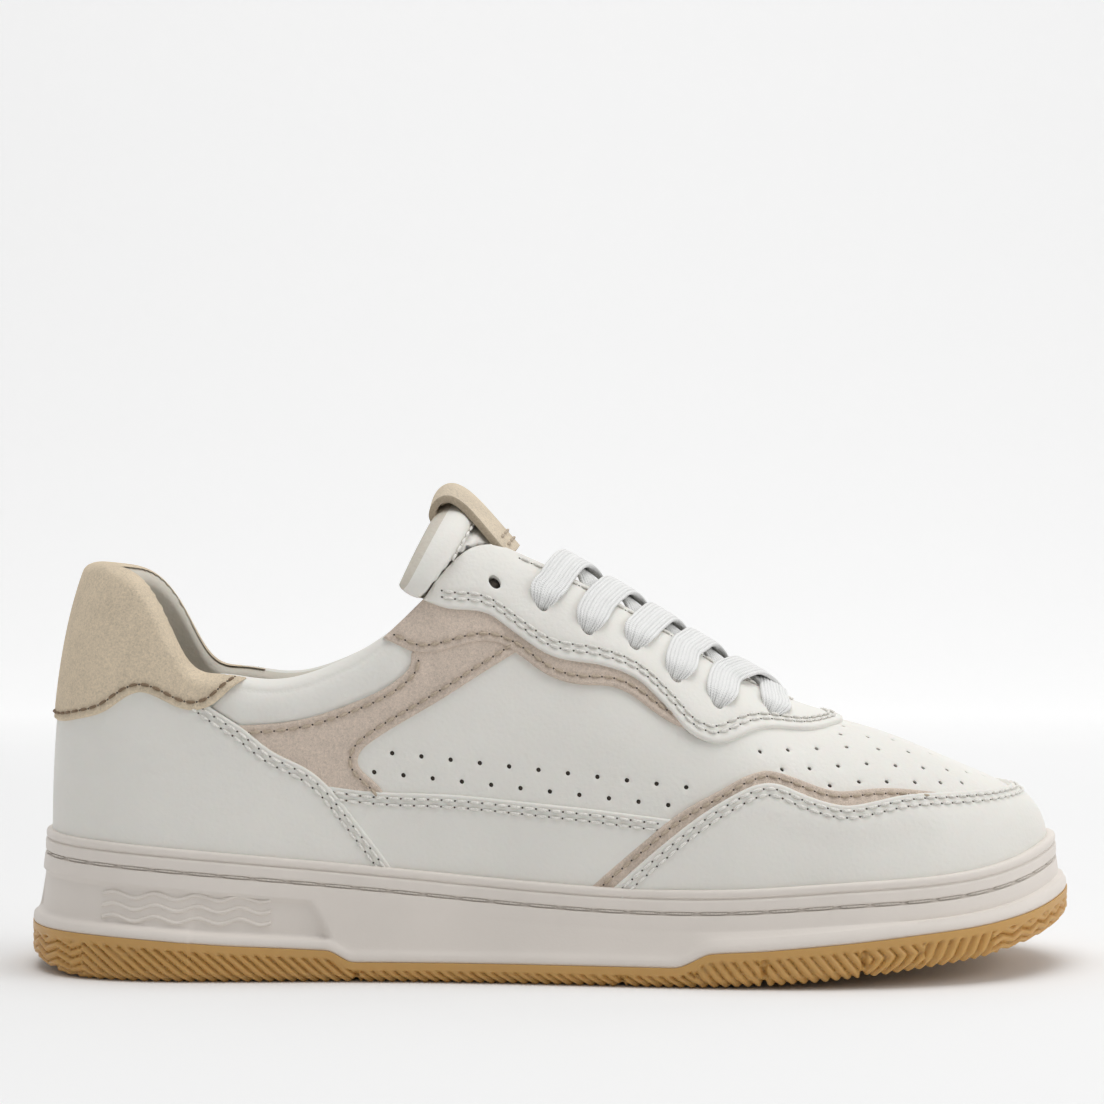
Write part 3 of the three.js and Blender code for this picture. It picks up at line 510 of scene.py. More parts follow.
class Batch:
    """Many small closed shapes gathered into one mesh."""

    def __init__(self):
        self.verts, self.faces, self.count = [], [], 0

    def add(self, verts, faces):
        self.faces += [tuple(i + self.count for i in f) for f in faces]
        self.verts.append(verts)
        self.count += len(verts)

    def build(self, name, *materials, sharp=0):
        return make_mesh(name, np.vstack(self.verts), self.faces, *materials, sharp=sharp)


def bead(rings, sides):
    """Faces of a closed bead: a point, rings of sides points, and a point."""
    faces = [(0, 1 + (k + 1) % sides, 1 + k) for k in range(sides)]
    for r in range(rings - 1):
        a = 1 + r * sides
        faces += [(a + k, a + (k + 1) % sides, a + sides + (k + 1) % sides, a + sides + k)
                  for k in range(sides)]
    last, end = 1 + (rings - 1) * sides, 1 + rings * sides
    return faces + [(last + k, last + (k + 1) % sides, end) for k in range(sides)]


STITCH_RINGS, STITCH_SIDES = 5, 6
STITCH_FACES = bead(STITCH_RINGS, STITCH_SIDES)


def sew(path, normals, thread, shade_lenses, pitch=3.7, gap=0.7, radius=0.43, sink=0.1):
    """Stitches along a 3-D path: each a length of thread that dives at both ends into a needle hole."""
    lengths = np.concatenate([[0], np.cumsum(np.linalg.norm(np.diff(path, axis=0), axis=1))])
    count = max(int(lengths[-1] / pitch), 1)

    def at(s, values):
        return np.array([np.interp(s, lengths, values[:, k]) for k in range(3)]).T

    for i in range(count):
        s0 = lengths[-1] * i / count + gap / 2
        s1 = lengths[-1] * (i + 1) / count - gap / 2
        shares = np.linspace(0, 1, STITCH_RINGS + 2)
        centre = at(s0 + (s1 - s0) * shares, path)
        up = at((s0 + s1) / 2, normals)
        direction = centre[-1] - centre[0]
        direction /= max(np.linalg.norm(direction), 1e-9)
        side = np.cross(direction, up)
        side /= max(np.linalg.norm(side), 1e-9)
        lift = radius * 0.75 * np.sin(math.pi * shares) ** 0.6 - sink
        centre = centre + up * lift[:, None]
        turn = np.arange(STITCH_SIDES) * 2 * math.pi / STITCH_SIDES
        verts = [centre[:1]]
        for k in range(1, STITCH_RINGS + 1):
            r = radius * (0.75 + 0.25 * math.sin(math.pi * shares[k]))
            verts.append(centre[k] + r * (np.cos(turn)[:, None] * side + np.sin(turn)[:, None] * up))
        verts.append(centre[-1:])
        thread.add(np.vstack(verts), STITCH_FACES)
    # A dark lens at each needle hole: painted shade of the hole.
    if shade_lenses is not None:
        for i in range(count + 1):
            s = lengths[-1] * i / count
            centre, up = at(s, path), at(s, normals)
            paint_hole_shade(shade_lenses, centre - up * 0.16, up, 0.29)


MARK_SIDES = 6


def paint_hole_shade(shade_lenses, centre, up, radius):
    """A dark lens lying in a needle hole: painted shade of the hole."""
    side = np.cross(up, [0.31, 0.52, 0.79])
    side /= np.linalg.norm(side)
    other = np.cross(up, side)
    turn = np.arange(MARK_SIDES) * 2 * math.pi / MARK_SIDES
    ring = centre + radius * (np.cos(turn)[:, None] * side + np.sin(turn)[:, None] * other)
    verts = np.vstack([centre - up * 0.1, ring, centre + up * 0.1])
    shade_lenses.add(verts, bead(1, MARK_SIDES))


# ---- materials ----------------------------------------------------------------------------------
def new_material(name):
    m = bpy.data.materials.new(name)
    m.use_nodes = True
    tree = m.node_tree
    return m, tree, tree.nodes["Principled BSDF"]


def add_node(tree, kind, **inputs):
    n = tree.nodes.new(kind)
    for key, value in inputs.items():
        n.inputs[key.replace("_", " ")].default_value = value
    return n


def object_coordinates(tree):
    return tree.nodes.new("ShaderNodeTexCoord").outputs["Object"]


def noise(tree, coordinates, scale, detail=4.0, roughness=0.55):
    n = add_node(tree, "ShaderNodeTexNoise", Scale=scale, Detail=detail, Roughness=roughness)
    tree.links.new(coordinates, n.inputs["Vector"])
    return n.outputs["Fac"]


def ramp_colour(tree, value, stops):
    n = tree.nodes.new("ShaderNodeValToRGB")
    n.color_ramp.elements[0].position, n.color_ramp.elements[1].position = stops[0][0], stops[-1][0]
    n.color_ramp.elements[0].color = (*stops[0][1], 1)
    n.color_ramp.elements[1].color = (*stops[-1][1], 1)
    for position, colour in stops[1:-1]:
        n.color_ramp.elements.new(position).color = (*colour, 1)
    tree.links.new(value, n.inputs["Fac"])
    return n.outputs["Color"]


def add_math(tree, operation, a, b):
    n = tree.nodes.new("ShaderNodeMath")
    n.operation = operation
    for socket, value in zip(n.inputs, (a, b)):
        if isinstance(value, (int, float)):
            socket.default_value = value
        else:
            tree.links.new(value, socket)
    return n.outputs[0]


def add_bump(tree, shader, height, strength, distance_m):
    n = add_node(tree, "ShaderNodeBump", Strength=strength, Distance=distance_m)
    tree.links.new(height, n.inputs["Height"])
    tree.links.new(n.outputs["Normal"], shader.inputs["Normal"])


def shade(colour, by):
    return tuple(min(c * by, 1.0) for c in colour)


def leather(name, colour, grain=1.0):
    """Smooth full-grain leather: faint pores and creases, a soft gloss that varies."""
    m, tree, shader = new_material(name)
    at = object_coordinates(tree)
    broad = noise(tree, at, 28, 3)
    tree.links.new(ramp_colour(tree, broad, [(0.3, shade(colour, 0.965)), (0.72, shade(colour, 1.02))]),
                   shader.inputs["Base Color"])
    fine = noise(tree, at, 900, 3, 0.6)
    pores = add_node(tree, "ShaderNodeTexVoronoi", Scale=780)
    tree.links.new(at, pores.inputs["Vector"])
    creases = noise(tree, at, 130, 5, 0.62)
    height = add_math(tree, "ADD", add_math(tree, "MULTIPLY", pores.outputs["Distance"], 0.5),
                      add_math(tree, "ADD", fine, add_math(tree, "MULTIPLY", creases, 1.6)))
    add_bump(tree, shader, height, 0.16 * grain, 0.0006)
    rough = ramp_colour(tree, creases, [(0.3, (0.46,) * 3), (0.7, (0.6,) * 3)])
    tree.links.new(rough, shader.inputs["Roughness"])
    shader.inputs["Specular IOR Level"].default_value = 0.42
    shader.inputs["Subsurface Weight"].default_value = 0.06
    shader.inputs["Subsurface Scale"].default_value = 0.002
    return m


def suede(name, colour):
    """Napped split leather: short matted fibres, darker where the nap lies over."""
    m, tree, shader = new_material(name)
    at = object_coordinates(tree)
    nap = noise(tree, at, 110, 5, 0.7)
    fibre = noise(tree, at, 1500, 5, 0.85)
    brushed = add_math(tree, "ADD", add_math(tree, "MULTIPLY", nap, 0.25),
                       add_math(tree, "MULTIPLY", fibre, 0.75))
    stops = [(0.36, shade(colour, 0.72)), (0.5, shade(colour, 0.98)), (0.64, shade(colour, 1.2))]
    tree.links.new(ramp_colour(tree, brushed, stops), shader.inputs["Base Color"])
    shader.inputs["Roughness"].default_value = 0.96
    shader.inputs["Specular IOR Level"].default_value = 0.12
    shader.inputs["Sheen Weight"].default_value = 0.45
    shader.inputs["Sheen Roughness"].default_value = 0.5
    shader.inputs["Sheen Tint"].default_value = (*shade(colour, 1.2), 1)
    height = add_math(tree, "ADD", fibre, add_math(tree, "MULTIPLY", nap, 1.1))
    add_bump(tree, shader, height, 0.7, 0.0007)
    return m


def rubber(name, colour, roughness, grain, glow=0.0, spread=(0.01, 0.01, 0.01)):
    """Moulded rubber, cloudy in tone, that may let some light through."""
    m, tree, shader = new_material(name)
    at = object_coordinates(tree)
    broad = noise(tree, at, 22, 4)
    tree.links.new(ramp_colour(tree, broad, [(0.32, shade(colour, 0.955)), (0.7, shade(colour, 1.025))]),
                   shader.inputs["Base Color"])
    fine = noise(tree, at, 1500, 3, 0.6)
    rough = ramp_colour(tree, broad, [(0.3, (roughness - 0.05,) * 3), (0.7, (roughness + 0.05,) * 3)])
    tree.links.new(rough, shader.inputs["Roughness"])
    add_bump(tree, shader, fine, grain, 0.0004)
    if glow:
        shader.inputs["Subsurface Weight"].default_value = glow
        shader.inputs["Subsurface Radius"].default_value = spread
        shader.inputs["Subsurface Scale"].default_value = 1.0
    return m


def cloth(name, colour, scale):
    """A fine woven or knitted face from crossed waves."""
    m, tree, shader = new_material(name)
    at = object_coordinates(tree)
    waves = []
    for axis in ("X", "Z"):
        w = add_node(tree, "ShaderNodeTexWave", Scale=scale, Distortion=0.6, Detail=1.0)
        w.bands_direction = axis
        tree.links.new(at, w.inputs["Vector"])
        waves.append(w.outputs["Fac"])
    weave = add_math(tree, "MULTIPLY", waves[0], waves[1])
    broad = noise(tree, at, 60, 4)
    mix = add_math(tree, "ADD", add_math(tree, "MULTIPLY", weave, 0.5),
                   add_math(tree, "MULTIPLY", broad, 0.5))
    tree.links.new(ramp_colour(tree, mix, [(0.15, shade(colour, 0.84)), (0.75, shade(colour, 1.08))]),
                   shader.inputs["Base Color"])
    shader.inputs["Roughness"].default_value = 0.9
    shader.inputs["Specular IOR Level"].default_value = 0.2
    shader.inputs["Sheen Weight"].default_value = 0.25
    add_bump(tree, shader, weave, 0.35, 0.0003)
    return m


def lace_cotton(name, colour):
    """Flat braid: diagonal picks along each rib, and painted shade that darkens the grooves between ribs,
    from the lace's own layout.
    """
    m, tree, shader = new_material(name)
    uv = tree.nodes.new("ShaderNodeUVMap")
    uv.uv_map = "braid"
    split = tree.nodes.new("ShaderNodeSeparateXYZ")
    tree.links.new(uv.outputs["UV"], split.inputs["Vector"])
    length, width = split.outputs["X"], split.outputs["Y"]
    lean = add_math(tree, "PINGPONG", width, 0.5)
    picks = add_math(tree, "SINE", add_math(tree, "MULTIPLY", add_math(
        tree, "ADD", length, add_math(tree, "MULTIPLY", lean, 1.1)), 2 * math.pi / 0.62), 0)
    at = object_coordinates(tree)
    fuzz = noise(tree, at, 2600, 3, 0.7)
    both = add_math(tree, "ADD", add_math(tree, "MULTIPLY", picks, 0.25),
                    add_math(tree, "MULTIPLY", fuzz, 0.9))
    # Painted shade: colour darkest in the grooves between ribs, where lean is highest.
    between = add_math(tree, "POWER", lean, 2.0)
    both = add_math(tree, "SUBTRACT", both, add_math(tree, "MULTIPLY", between, 1.6))
    tree.links.new(ramp_colour(tree, both, [(0.0, shade(colour, 0.72)), (0.4, colour)]),
                   shader.inputs["Base Color"])
    shader.inputs["Roughness"].default_value = 0.88
    shader.inputs["Specular IOR Level"].default_value = 0.2
    shader.inputs["Sheen Weight"].default_value = 0.3
    add_bump(tree, shader, both, 0.5, 0.00035)
    return m


def thread_material(name, colour):
    """Twisted thread in two tones."""
    m, tree, shader = new_material(name)
    at = object_coordinates(tree)
    twist = noise(tree, at, 1900, 2, 0.6)
    tree.links.new(ramp_colour(tree, twist, [(0.3, shade(colour, 0.8)), (0.65, shade(colour, 1.05))]),
                   shader.inputs["Base Color"])
    shader.inputs["Roughness"].default_value = 0.7
    add_bump(tree, shader, twist, 0.4, 0.0002)
    return m


WHITE = leather("leather_white", (0.80, 0.782, 0.733))
BEIGE = suede("suede_beige", (0.73, 0.615, 0.52))
TAN = suede("suede_tan", (0.79, 0.665, 0.50))
TAB_LEATHER = suede("suede_tab", (0.79, 0.68, 0.53))
TAB_CUT = suede("suede_cut_edge", (0.47, 0.39, 0.29))
LINING = leather("lining_textile", (0.62, 0.575, 0.495), 1.6)
FOOTBED = cloth("footbed_textile", (0.56, 0.52, 0.45), 300)
SOLE_WHITE = rubber("rubber_cream", (0.745, 0.69, 0.635), 0.55, 0.12)
GUM = rubber("rubber_gum", (0.55, 0.315, 0.095), 0.4, 0.1, 0.14, (0.004, 0.002, 0.0006))
LACE = lace_cotton("lace_braid", (0.93, 0.93, 0.915))
THREAD = thread_material("thread_cream", (0.84, 0.82, 0.77))
THREAD_BEIGE = thread_material("thread_beige", (0.52, 0.43, 0.33))
THREAD_BROWN = thread_material("thread_brown", (0.22, 0.15, 0.09))
THREAD_SOLE = thread_material("thread_sole", (0.66, 0.61, 0.55))
# Near-black colour of the lenses of painted shade in needle holes, perforations and eyelets.
HOLE_SHADE = thread_material("needle_hole_painted_shade", (0.07, 0.055, 0.042))
FOAM = cloth("foam_cells", (0.8, 0.74, 0.56), 900)
BOARD = cloth("fibre_board", (0.5, 0.38, 0.25), 200)


# ---- outlines in side view: [x, z] ---------------------------------------------------------------
COLLAR_SEAM = [(-96, 76), (-87.6, 71.6), (-73.7, 72.1), (-59.2, 76.4), (-43.6, 83.6), (-39.5, 87.9),
               (-40.3, 90.6), (-47.5, 95)]
COUNTER_EDGE = [(-104, 84), (-95.6, 76.1), (-85.8, 69.7), (-77.9, 63.6), (-68.8, 59), (-62.1, 53.6),
                (-55.4, 45.4), (-44.3, 30.6), (-42, 27)]
TAB_EDGE = [(-143.6, 71.2), (-138, 71.3), (-133.5, 72.2), (-125.7, 74.5), (-119, 78.8), (-115.6, 79.9),
            (-108, 77.5), (-101, 75.1), (-95.4, 76.2), (-90.4, 80.3), (-85.5, 84.3)]
SADDLE_TOP = [(-90, 70.6), (-79.1, 71.1), (-68.3, 72.7), (-57.2, 76.3), (-42.4, 84.1), (-39.7, 87.4),
              (-39.4, 90.6)]
SADDLE_FRONT = [(-8, 92.5), (-20.1, 85), (-31.8, 77.5), (-44, 70.3), (-50.6, 66), (-53.8, 62.6),
                (-54.2, 60.2), (-52.5, 57.6), (-47.6, 52.9), (-46, 50)]
TRIM_EDGE = [(-47.2, 95.2), (-42.5, 92.8), (-37.3, 91), (-32, 91.3), (-26.7, 92.7), (-17.6, 94.1),
             (-12, 92.4), (-7, 89.1), (-2, 85.6), (3.6, 83.3), (10, 82.4), (17.3, 81.9), (22.5, 79.6),
             (27.8, 75.7), (32.5, 72.6), (40, 69.5)]
EYESTAY_EDGE = [(-36, 105.8), (-29.7, 103.6), (-20.2, 102.7), (-17, 101.6), (-13.4, 99.1), (-7, 94.4),
                (-0.6, 90.6), (5, 89.1), (11.4, 88.3), (18, 86.7), (24.5, 83.6), (29.5, 79),
                (33.3, 74.9), (37.8, 70), (42.5, 67.3), (45.5, 66.5), (48.4, 66.8), (54, 69),
                (59.9, 70.5), (68.9, 70), (74, 69.9), (77.7, 70.3)]
FOXING_TOP = [(-64, 54.2), (-47.6, 52.2), (-31.7, 51.7), (-8.3, 49.8), (12.7, 47.8), (34, 45.4)]
TOE_TRIM_TOP = [(6, 22), (11, 26.9), (25.3, 39.5), (37.4, 48.8), (48.1, 54.6), (52.5, 57), (56, 58.3),
                (59.3, 58.9), (62.1, 58.5), (70.9, 55.5), (78.9, 53.3), (86, 53.6), (94, 53.8),
                (107.4, 52.3)]
MUDGUARD_TOP = [(11, 21), (16.9, 26.7), (31.2, 39.5), (43.6, 48.8), (49, 52), (53.2, 54.1),
                (57.5, 55.5), (61.8, 55.5), (68, 53.2), (76, 50.4), (80.2, 49.6), (87, 50.2),
                (95.9, 51.8), (113.2, 52.8), (125.2, 52.9)]
MUDGUARD_TOE_X = 133.5
EYELETS = [(-16.1, 110.7), (-2.8, 104.4), (10, 97.7), (23.2, 93.4), (34.7, 84.4), (46.3, 77),
           (62.4, 74.3)]
EYELET_RADIUS = 1.95
PERFORATION_ROWS = [((-44.6, 62.9), (37, 54.2), 11), ((-49.6, 57.6), (32, 49.3), 11)]
THROAT_HALF = spline([(-30, 13.6), (-17, 13.8), (0, 13.7), (20, 13.9), (40, 12.9), (54, 10.3), (63, 6.2)])
THROAT_END = 67.5
SADDLE_DEPTH, FOXING_DEPTH, TRIM_DEPTH, COUNTER_DEPTH = 0.95, 1.2, 1.5, 1.8
TOE_TRIM_DEPTH, MUDGUARD_DEPTH, EYESTAY_DEPTH, TAB_DEPTH = 1.6, 2.5, 2.7, 2.7
UNDER_RIM = -2.5


def low_edge(start, end, lift=UNDER_RIM, step=3.0):
    """Points (x, z) beside the rim of the sole between two x places."""
    xs = np.linspace(start, end, max(int(abs(end - start) / step), 2) + 1)
    return [(x, float(rim_z(x)) + lift) for x in xs]


def chart_loop(*runs):
    """A closed outline from runs of chart points, each already sampled."""
    joined = []
    for run in runs:
        for p in run:
            if not joined or np.hypot(*(np.asarray(p) - joined[-1])) > 0.12:
                joined.append(np.asarray(p, float))
    if np.hypot(*(joined[0] - joined[-1])) < 0.12:
        joined.pop()
    return np.array(joined)


def place_on(obj, body, slot, *nodes):
    """Puts a piece on a body and hides the CAD nodes it stands for; its material slot is not used."""
    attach(obj, body)
    if nodes:
        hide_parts(*nodes)
    return obj


SIDES = (("lateral", True), ("medial", False))
# The last batch gathers dark lenses: painted shade in needle holes and punched holes.
thread, suede_thread, dark_thread, hole_shade_batch = Batch(), Batch(), Batch(), Batch()


def sew_chart(line, place, depth, batch=None, pitch=3.7):
    """A row of stitches along a chart line on a face at a depth."""
    angle, rise = place(line)
    at = surface(angle, rise)
    lift = depth(line, at) if callable(depth) else np.full(len(line), float(depth))
    sew(off_surface(angle, rise, lift), normal_at(angle, rise), batch or thread, hole_shade_batch, pitch)


def paint_punch_shades(centres, place, depth, radius):
    """Dark lenses behind punched holes: painted shade seen through them."""
    angle, rise = place(np.array(centres))
    for at, up in zip(off_surface(angle, rise, np.full(len(angle), depth)), normal_at(angle, rise)):
        paint_hole_shade(hole_shade_batch, at, up, radius)


# ---- base layer: quarters and vamp ----------------------------------------------------------------
FRONT_X = 46.0
UNDER_EYESTAY = [(-47.5, 95), (-38, 101), (-20, 104), (-8, 101), (5, 95), (18, 91), (28, 85), (36, 79),
                 (FRONT_X, 73)]
for side, lateral in SIDES:
    back_low, front_low = low_edge(-96, -96)[0], low_edge(FRONT_X, FRONT_X)[0]
    outline = chart_loop(
        along(on_skirt(COLLAR_SEAM, lateral)),
        straight(on_skirt(UNDER_EYESTAY, lateral)),
        straight(on_skirt([(FRONT_X, z) for z in (73, 66, 58, 50, 42, 34, front_low[1])], lateral)),
        straight(on_skirt(low_edge(FRONT_X, -96), lateral)),
        straight(on_skirt([back_low, (-96, 60), (-96, 76)], lateral)))
    centres = []
    for start, end, count in PERFORATION_ROWS:
        row = np.array(start) + (np.array(end) - start) * np.linspace(0, 1, count)[:, None]
        centres += list(on_skirt(row, lateral))
    quarter = panel(f"quarter_{side}_leather", outline, skirt_place, 0.0, 1.4, WHITE, step=2.0,
                    fillet=0, holes=[(c, 0.64) for c in centres])
    # Painted shade: a dark lens in each perforation of the quarter.
    paint_punch_shades(centres, skirt_place, -0.8, 0.85)
    place_on(quarter, "shoe", "white_leather", f"quarter_{side}")

# The mudguard's top edge, once round the toe, and the vamp that ends a little under it.
mud_sides = [on_skirt(MUDGUARD_TOP, s, MUDGUARD_DEPTH, math.pi) for s in (True, False)]
toe_reach = (MUDGUARD_TOE_X - SPINE_TOE_X) / (TOE_X - SPINE_TOE_X)
toe_rise = (1 - toe_reach ** (WIDTH_POWER + TOE_WIDTH_POWER)) ** (1 / RISE_POWER)
toe_point = skirt_of(np.array([math.pi]), np.array([toe_rise]), math.pi)
mud_edge = along(np.vstack([mud_sides[0], toe_point, mud_sides[1][::-1]]))
vamp_edge = top_of(*nose_place(mud_edge[surface(*nose_place(mud_edge))[:, 0] > 49] - (0, 5)))
VAMP_BACK = [(FRONT_X, 15), (58, 10), (69, 4), (69, -6), (58, -13), (FRONT_X, -18)]
vamp_outline = chart_loop(vamp_edge, straight(np.vstack([
    vamp_edge[-1:], on_top([(FRONT_X, 45), (FRONT_X, 60)], False), plan_on_top(VAMP_BACK),
    on_top([(FRONT_X, 60), (FRONT_X, 45)], True), vamp_edge[:1]]), 1.2))
VAMP_ROWS = [([(76.9, 54.5), (92.4, 55.2), (107.1, 54.5), (122.6, 52.8)], 7),
             ([(63.7, 58.9), (79.1, 59.5), (94.2, 59.4), (109.1, 57.8), (124.3, 54.6)], 9),
             ([(57.8, 63.7), (73, 64.1), (88.2, 64.1), (102.9, 62.2), (118, 58)], 9),
             ([(81.9, 67.4), (96.4, 65.5), (111, 60.9)], 5),
             ([(83.5, 69.2), (98.3, 66)], 3)]


def vamp_centres():
    """Rows of perforations over the toe box on both sides of its ridge."""
    kept = []
    for row, count in VAMP_ROWS:
        for lateral in (True, False):
            line = along(on_top(row, lateral), 0.4)
            for c in line[np.linspace(0, len(line) - 1, count).round().astype(int)]:
                if all(np.hypot(*(c - k)) > 4.2 for k in kept) and distance(c[None], vamp_edge)[0] > 7:
                    kept.append(c)
    return kept


centres = vamp_centres()
vamp = panel("vamp_leather", vamp_outline, top_place, 0.0, 1.4, WHITE, step=2.0, fillet=0,
             holes=[(c, 0.62) for c in centres])
# Painted shade: a dark lens in each perforation of the vamp.
paint_punch_shades(centres, top_place, -0.7, 0.8)
place_on(vamp, "shoe", "white_leather", "vamp")

# ---- overlays on the sides --------------------------------------------------------------------------
for side, lateral in SIDES:
    down = -1 if lateral else 1
    top = along(on_skirt(FOXING_TOP, lateral, FOXING_DEPTH))
    outline = chart_loop(top, straight(on_skirt([(34, 45.4), (44, 40), (36, 30)], lateral)),
                         straight(on_skirt(low_edge(32, -58), lateral)),
                         straight(on_skirt([low_edge(-58, -58)[0], (-66, 50), (-64, 54.2)], lateral)))
    rows = [beside(top, down * by) for by in (1.6, 3.4)]
    piece = panel(f"foxing_{side}_leather", outline, skirt_place, FOXING_DEPTH, 1.2, WHITE, seams=rows)
    place_on(piece, "shoe", "white_leather", f"foxing_panel_{side}")
    for row in rows:
        sew_chart(row[4:-6], skirt_place, FOXING_DEPTH)

    top = along(on_skirt(SADDLE_TOP, lateral, SADDLE_DEPTH))
    front = along(on_skirt(SADDLE_FRONT, lateral, SADDLE_DEPTH))
    hidden = [(-39.4, 90.6), (-36, 95), (-20, 98), (-8, 92.5)]
    outline = chart_loop(top, straight(on_skirt(hidden, lateral, SADDLE_DEPTH))[1:-1], front,
                         straight(on_skirt([(-46, 50), (-56, 46), (-70, 56), (-90, 70.6)], lateral)))
    rows = [beside(top, down * 2.1), beside(front, down * 2.1)]
    piece = panel(f"saddle_{side}_suede", outline, skirt_place, SADDLE_DEPTH, 1.2, BEIGE, seams=rows,
                  groove=0.26)
    place_on(piece, "shoe", "beige_suede", f"saddle_{side}")
    for row in rows:
        sew_chart(row[2:-2], skirt_place, SADDLE_DEPTH, suede_thread, 3.4)

    low = along(on_skirt(TRIM_EDGE, lateral, TRIM_DEPTH))
    hidden = [(40, 69.5), (42, 76), (34, 84), (24, 91), (10, 95), (-4, 99), (-14, 105), (-24, 109),
              (-33, 109), (-36.5, 105.6), (-41.5, 100.6), (-47.2, 95.2)]
    outline = chart_loop(low, straight(on_skirt(hidden, lateral, TRIM_DEPTH)))
    row = beside(low, -down * 2.1)
    piece = panel(f"eyestay_trim_{side}_suede", outline, skirt_place, TRIM_DEPTH, 1.5, BEIGE,
                  seams=[row], groove=0.26)
    place_on(piece, "shoe", "beige_suede", f"eyestay_trim_{side}")
    sew_chart(row[3:-8], skirt_place, TRIM_DEPTH, suede_thread, 3.4)

    top = along(on_skirt(TOE_TRIM_TOP, lateral, TOE_TRIM_DEPTH, math.pi))
    under = [(107.4, 52.3), (104, 49.5), (95.9, 48), (80.2, 45.5), (62, 51), (50, 47), (34, 36),
             (22, 25), (6, 22)]
    outline = chart_loop(top, straight(on_skirt(under, lateral, TOE_TRIM_DEPTH, math.pi)))
    row = beside(top, down * 1.8)
    piece = panel(f"toe_trim_{side}_suede", outline, nose_place, TOE_TRIM_DEPTH, 1.5, BEIGE, seams=[row],
                  groove=0.24)
    place_on(piece, "shoe", "beige_suede", f"toe_trim_{side}")
    sew_chart(row[8:-3], nose_place, TOE_TRIM_DEPTH, suede_thread, 3.4)

# Heel panel, one piece round the back.
counters = [along(on_skirt(COUNTER_EDGE, s, COUNTER_DEPTH)) for s in (True, False)]
outline = chart_loop(counters[0][::-1][3:], straight([counters[0][0], counters[1][0]]), counters[1][:-3],
                     straight(on_skirt(low_edge(-43.5, -142.8), False)),
                     straight(on_skirt(low_edge(-142.8, -43.5), True)))
rows = [beside(line, sign * by)[4:-6] for line, sign in zip(counters, (-1, 1)) for by in (1.6, 3.4)]


def heel_creases(p, at):
    """Soft wrinkles that fan out below the tab on both sides."""
    x, height = np.abs(p[:, 0]), at[:, 2]
    fan = np.sin((p[:, 1] - 0.35 * x) * 1.15 + 1.4 * np.sin(x * 0.11)) * np.sin(x * 0.16 + p[:, 1] * 0.09)
    near = smoothstep(x, 22, 48) * (1 - smoothstep(x, 88, 112)) * smoothstep(height, 46, 60)
    return COUNTER_DEPTH + 0.22 * fan * near


piece = panel("heel_panel_leather", outline, skirt_place, heel_creases, 1.4, WHITE, seams=rows, step=1.9)
place_on(piece, "shoe", "white_leather", "heel_panel")
for row in rows:
    sew_chart(row, skirt_place, heel_creases)

# ---- mudguard, heel tab, eyestay --------------------------------------------------------------------
mud_outline = chart_loop(mud_edge[5:-5], straight(on_skirt(low_edge(15, 142.6), False, 0, math.pi)),
                         straight(on_skirt(low_edge(142.6, 15), True, 0, math.pi)))


def mudguard_depth(p, at):
    """Lifted over the suede trim along its edge, and lower below it and round the toe."""
    from_edge = smoothstep(distance(p, mud_edge), 4, 13)
    return MUDGUARD_DEPTH - np.maximum(from_edge, 0.95 * smoothstep(at[:, 0], 96, 112))


rows = [beside(mud_edge, -by)[8:-8] for by in (1.7, 3.5)]
piece = panel("mudguard_leather", mud_outline, nose_place, mudguard_depth, 1.5, WHITE, seams=rows, step=1.9)
place_on(piece, "shoe", "white_leather", "mudguard")
for row in rows:
    sew_chart(row, nose_place, mudguard_depth)

TAB_ROLL, TAB_ROLL_IN = 5.0, 8.0
tab_sides = [along(on_skirt(TAB_EDGE, s, TAB_DEPTH)) for s in (True, False)]
rim_xs = np.concatenate([np.arange(-86, -112, -1.5), np.arange(-112, -137, -2.0)])
tab_rims = [straight(on_skirt(np.column_stack([rim_xs, top_line_z(rim_xs)]), s)) for s in (True, False)]
tab_outline = chart_loop(tab_sides[0], tab_rims[0], tab_rims[1][::-1], tab_sides[1][::-1])
tab_low = chart_loop(tab_sides[0][::-1], tab_sides[1])


def tab_depth(p, at):
    """Flat on the heel panel, rolled over the padded collar along the top."""
    below = np.clip((top_line_z(at[:, 0]) - at[:, 2]) / TAB_ROLL, 0, 1)
    return TAB_DEPTH - TAB_ROLL_IN * (1 - np.sqrt(1 - (1 - below) ** 2))


row = beside(tab_low, -2.1)[3:-3]
piece = panel("heel_tab_suede", tab_outline, skirt_place, tab_depth, 1.5, TAN, seams=[row], step=1.9,
              fillet=0.7, rows=(0.9, 1.8, 2.8, 3.9, 5.0))
place_on(piece, "shoe", "tan_suede", "heel_tab")
sew_chart(row, skirt_place, tab_depth, dark_thread, 3.5)


def throat_edge(lateral):
    """Edge of a facing along the throat, from its rear to the toe end."""
    xs = np.linspace(-14.0, 63, 60)
    y = spine_y(xs) + (-1 if lateral else 1) * THROAT_HALF(xs)
    return plan_on_top(np.column_stack([xs, y]))


REAR_CORNER = [(-36, 105.8), (-33.2, 109.6), (-28.6, 115), (-25.5, 117.7), (-22.8, 119.1), (-18, 119.7)]


def eyestay_lift(x):
    """Raised over the suede trim, and let down onto the vamp towards its tip."""
    return EYESTAY_DEPTH - 1.3 * smoothstep(x, 34, 48)


def eyestay_depth(p, at):
    return eyestay_lift(at[:, 0])


def facing_depth(p, at):
    return eyestay_lift(at[:, 0]) - 1.9


def eyestay_side(points, lateral):
    """Chart points of an eyestay outline seen from the side, each at its own depth."""
    return np.vstack([on_top([p], lateral, float(eyestay_lift(p[0]))) for p in points])


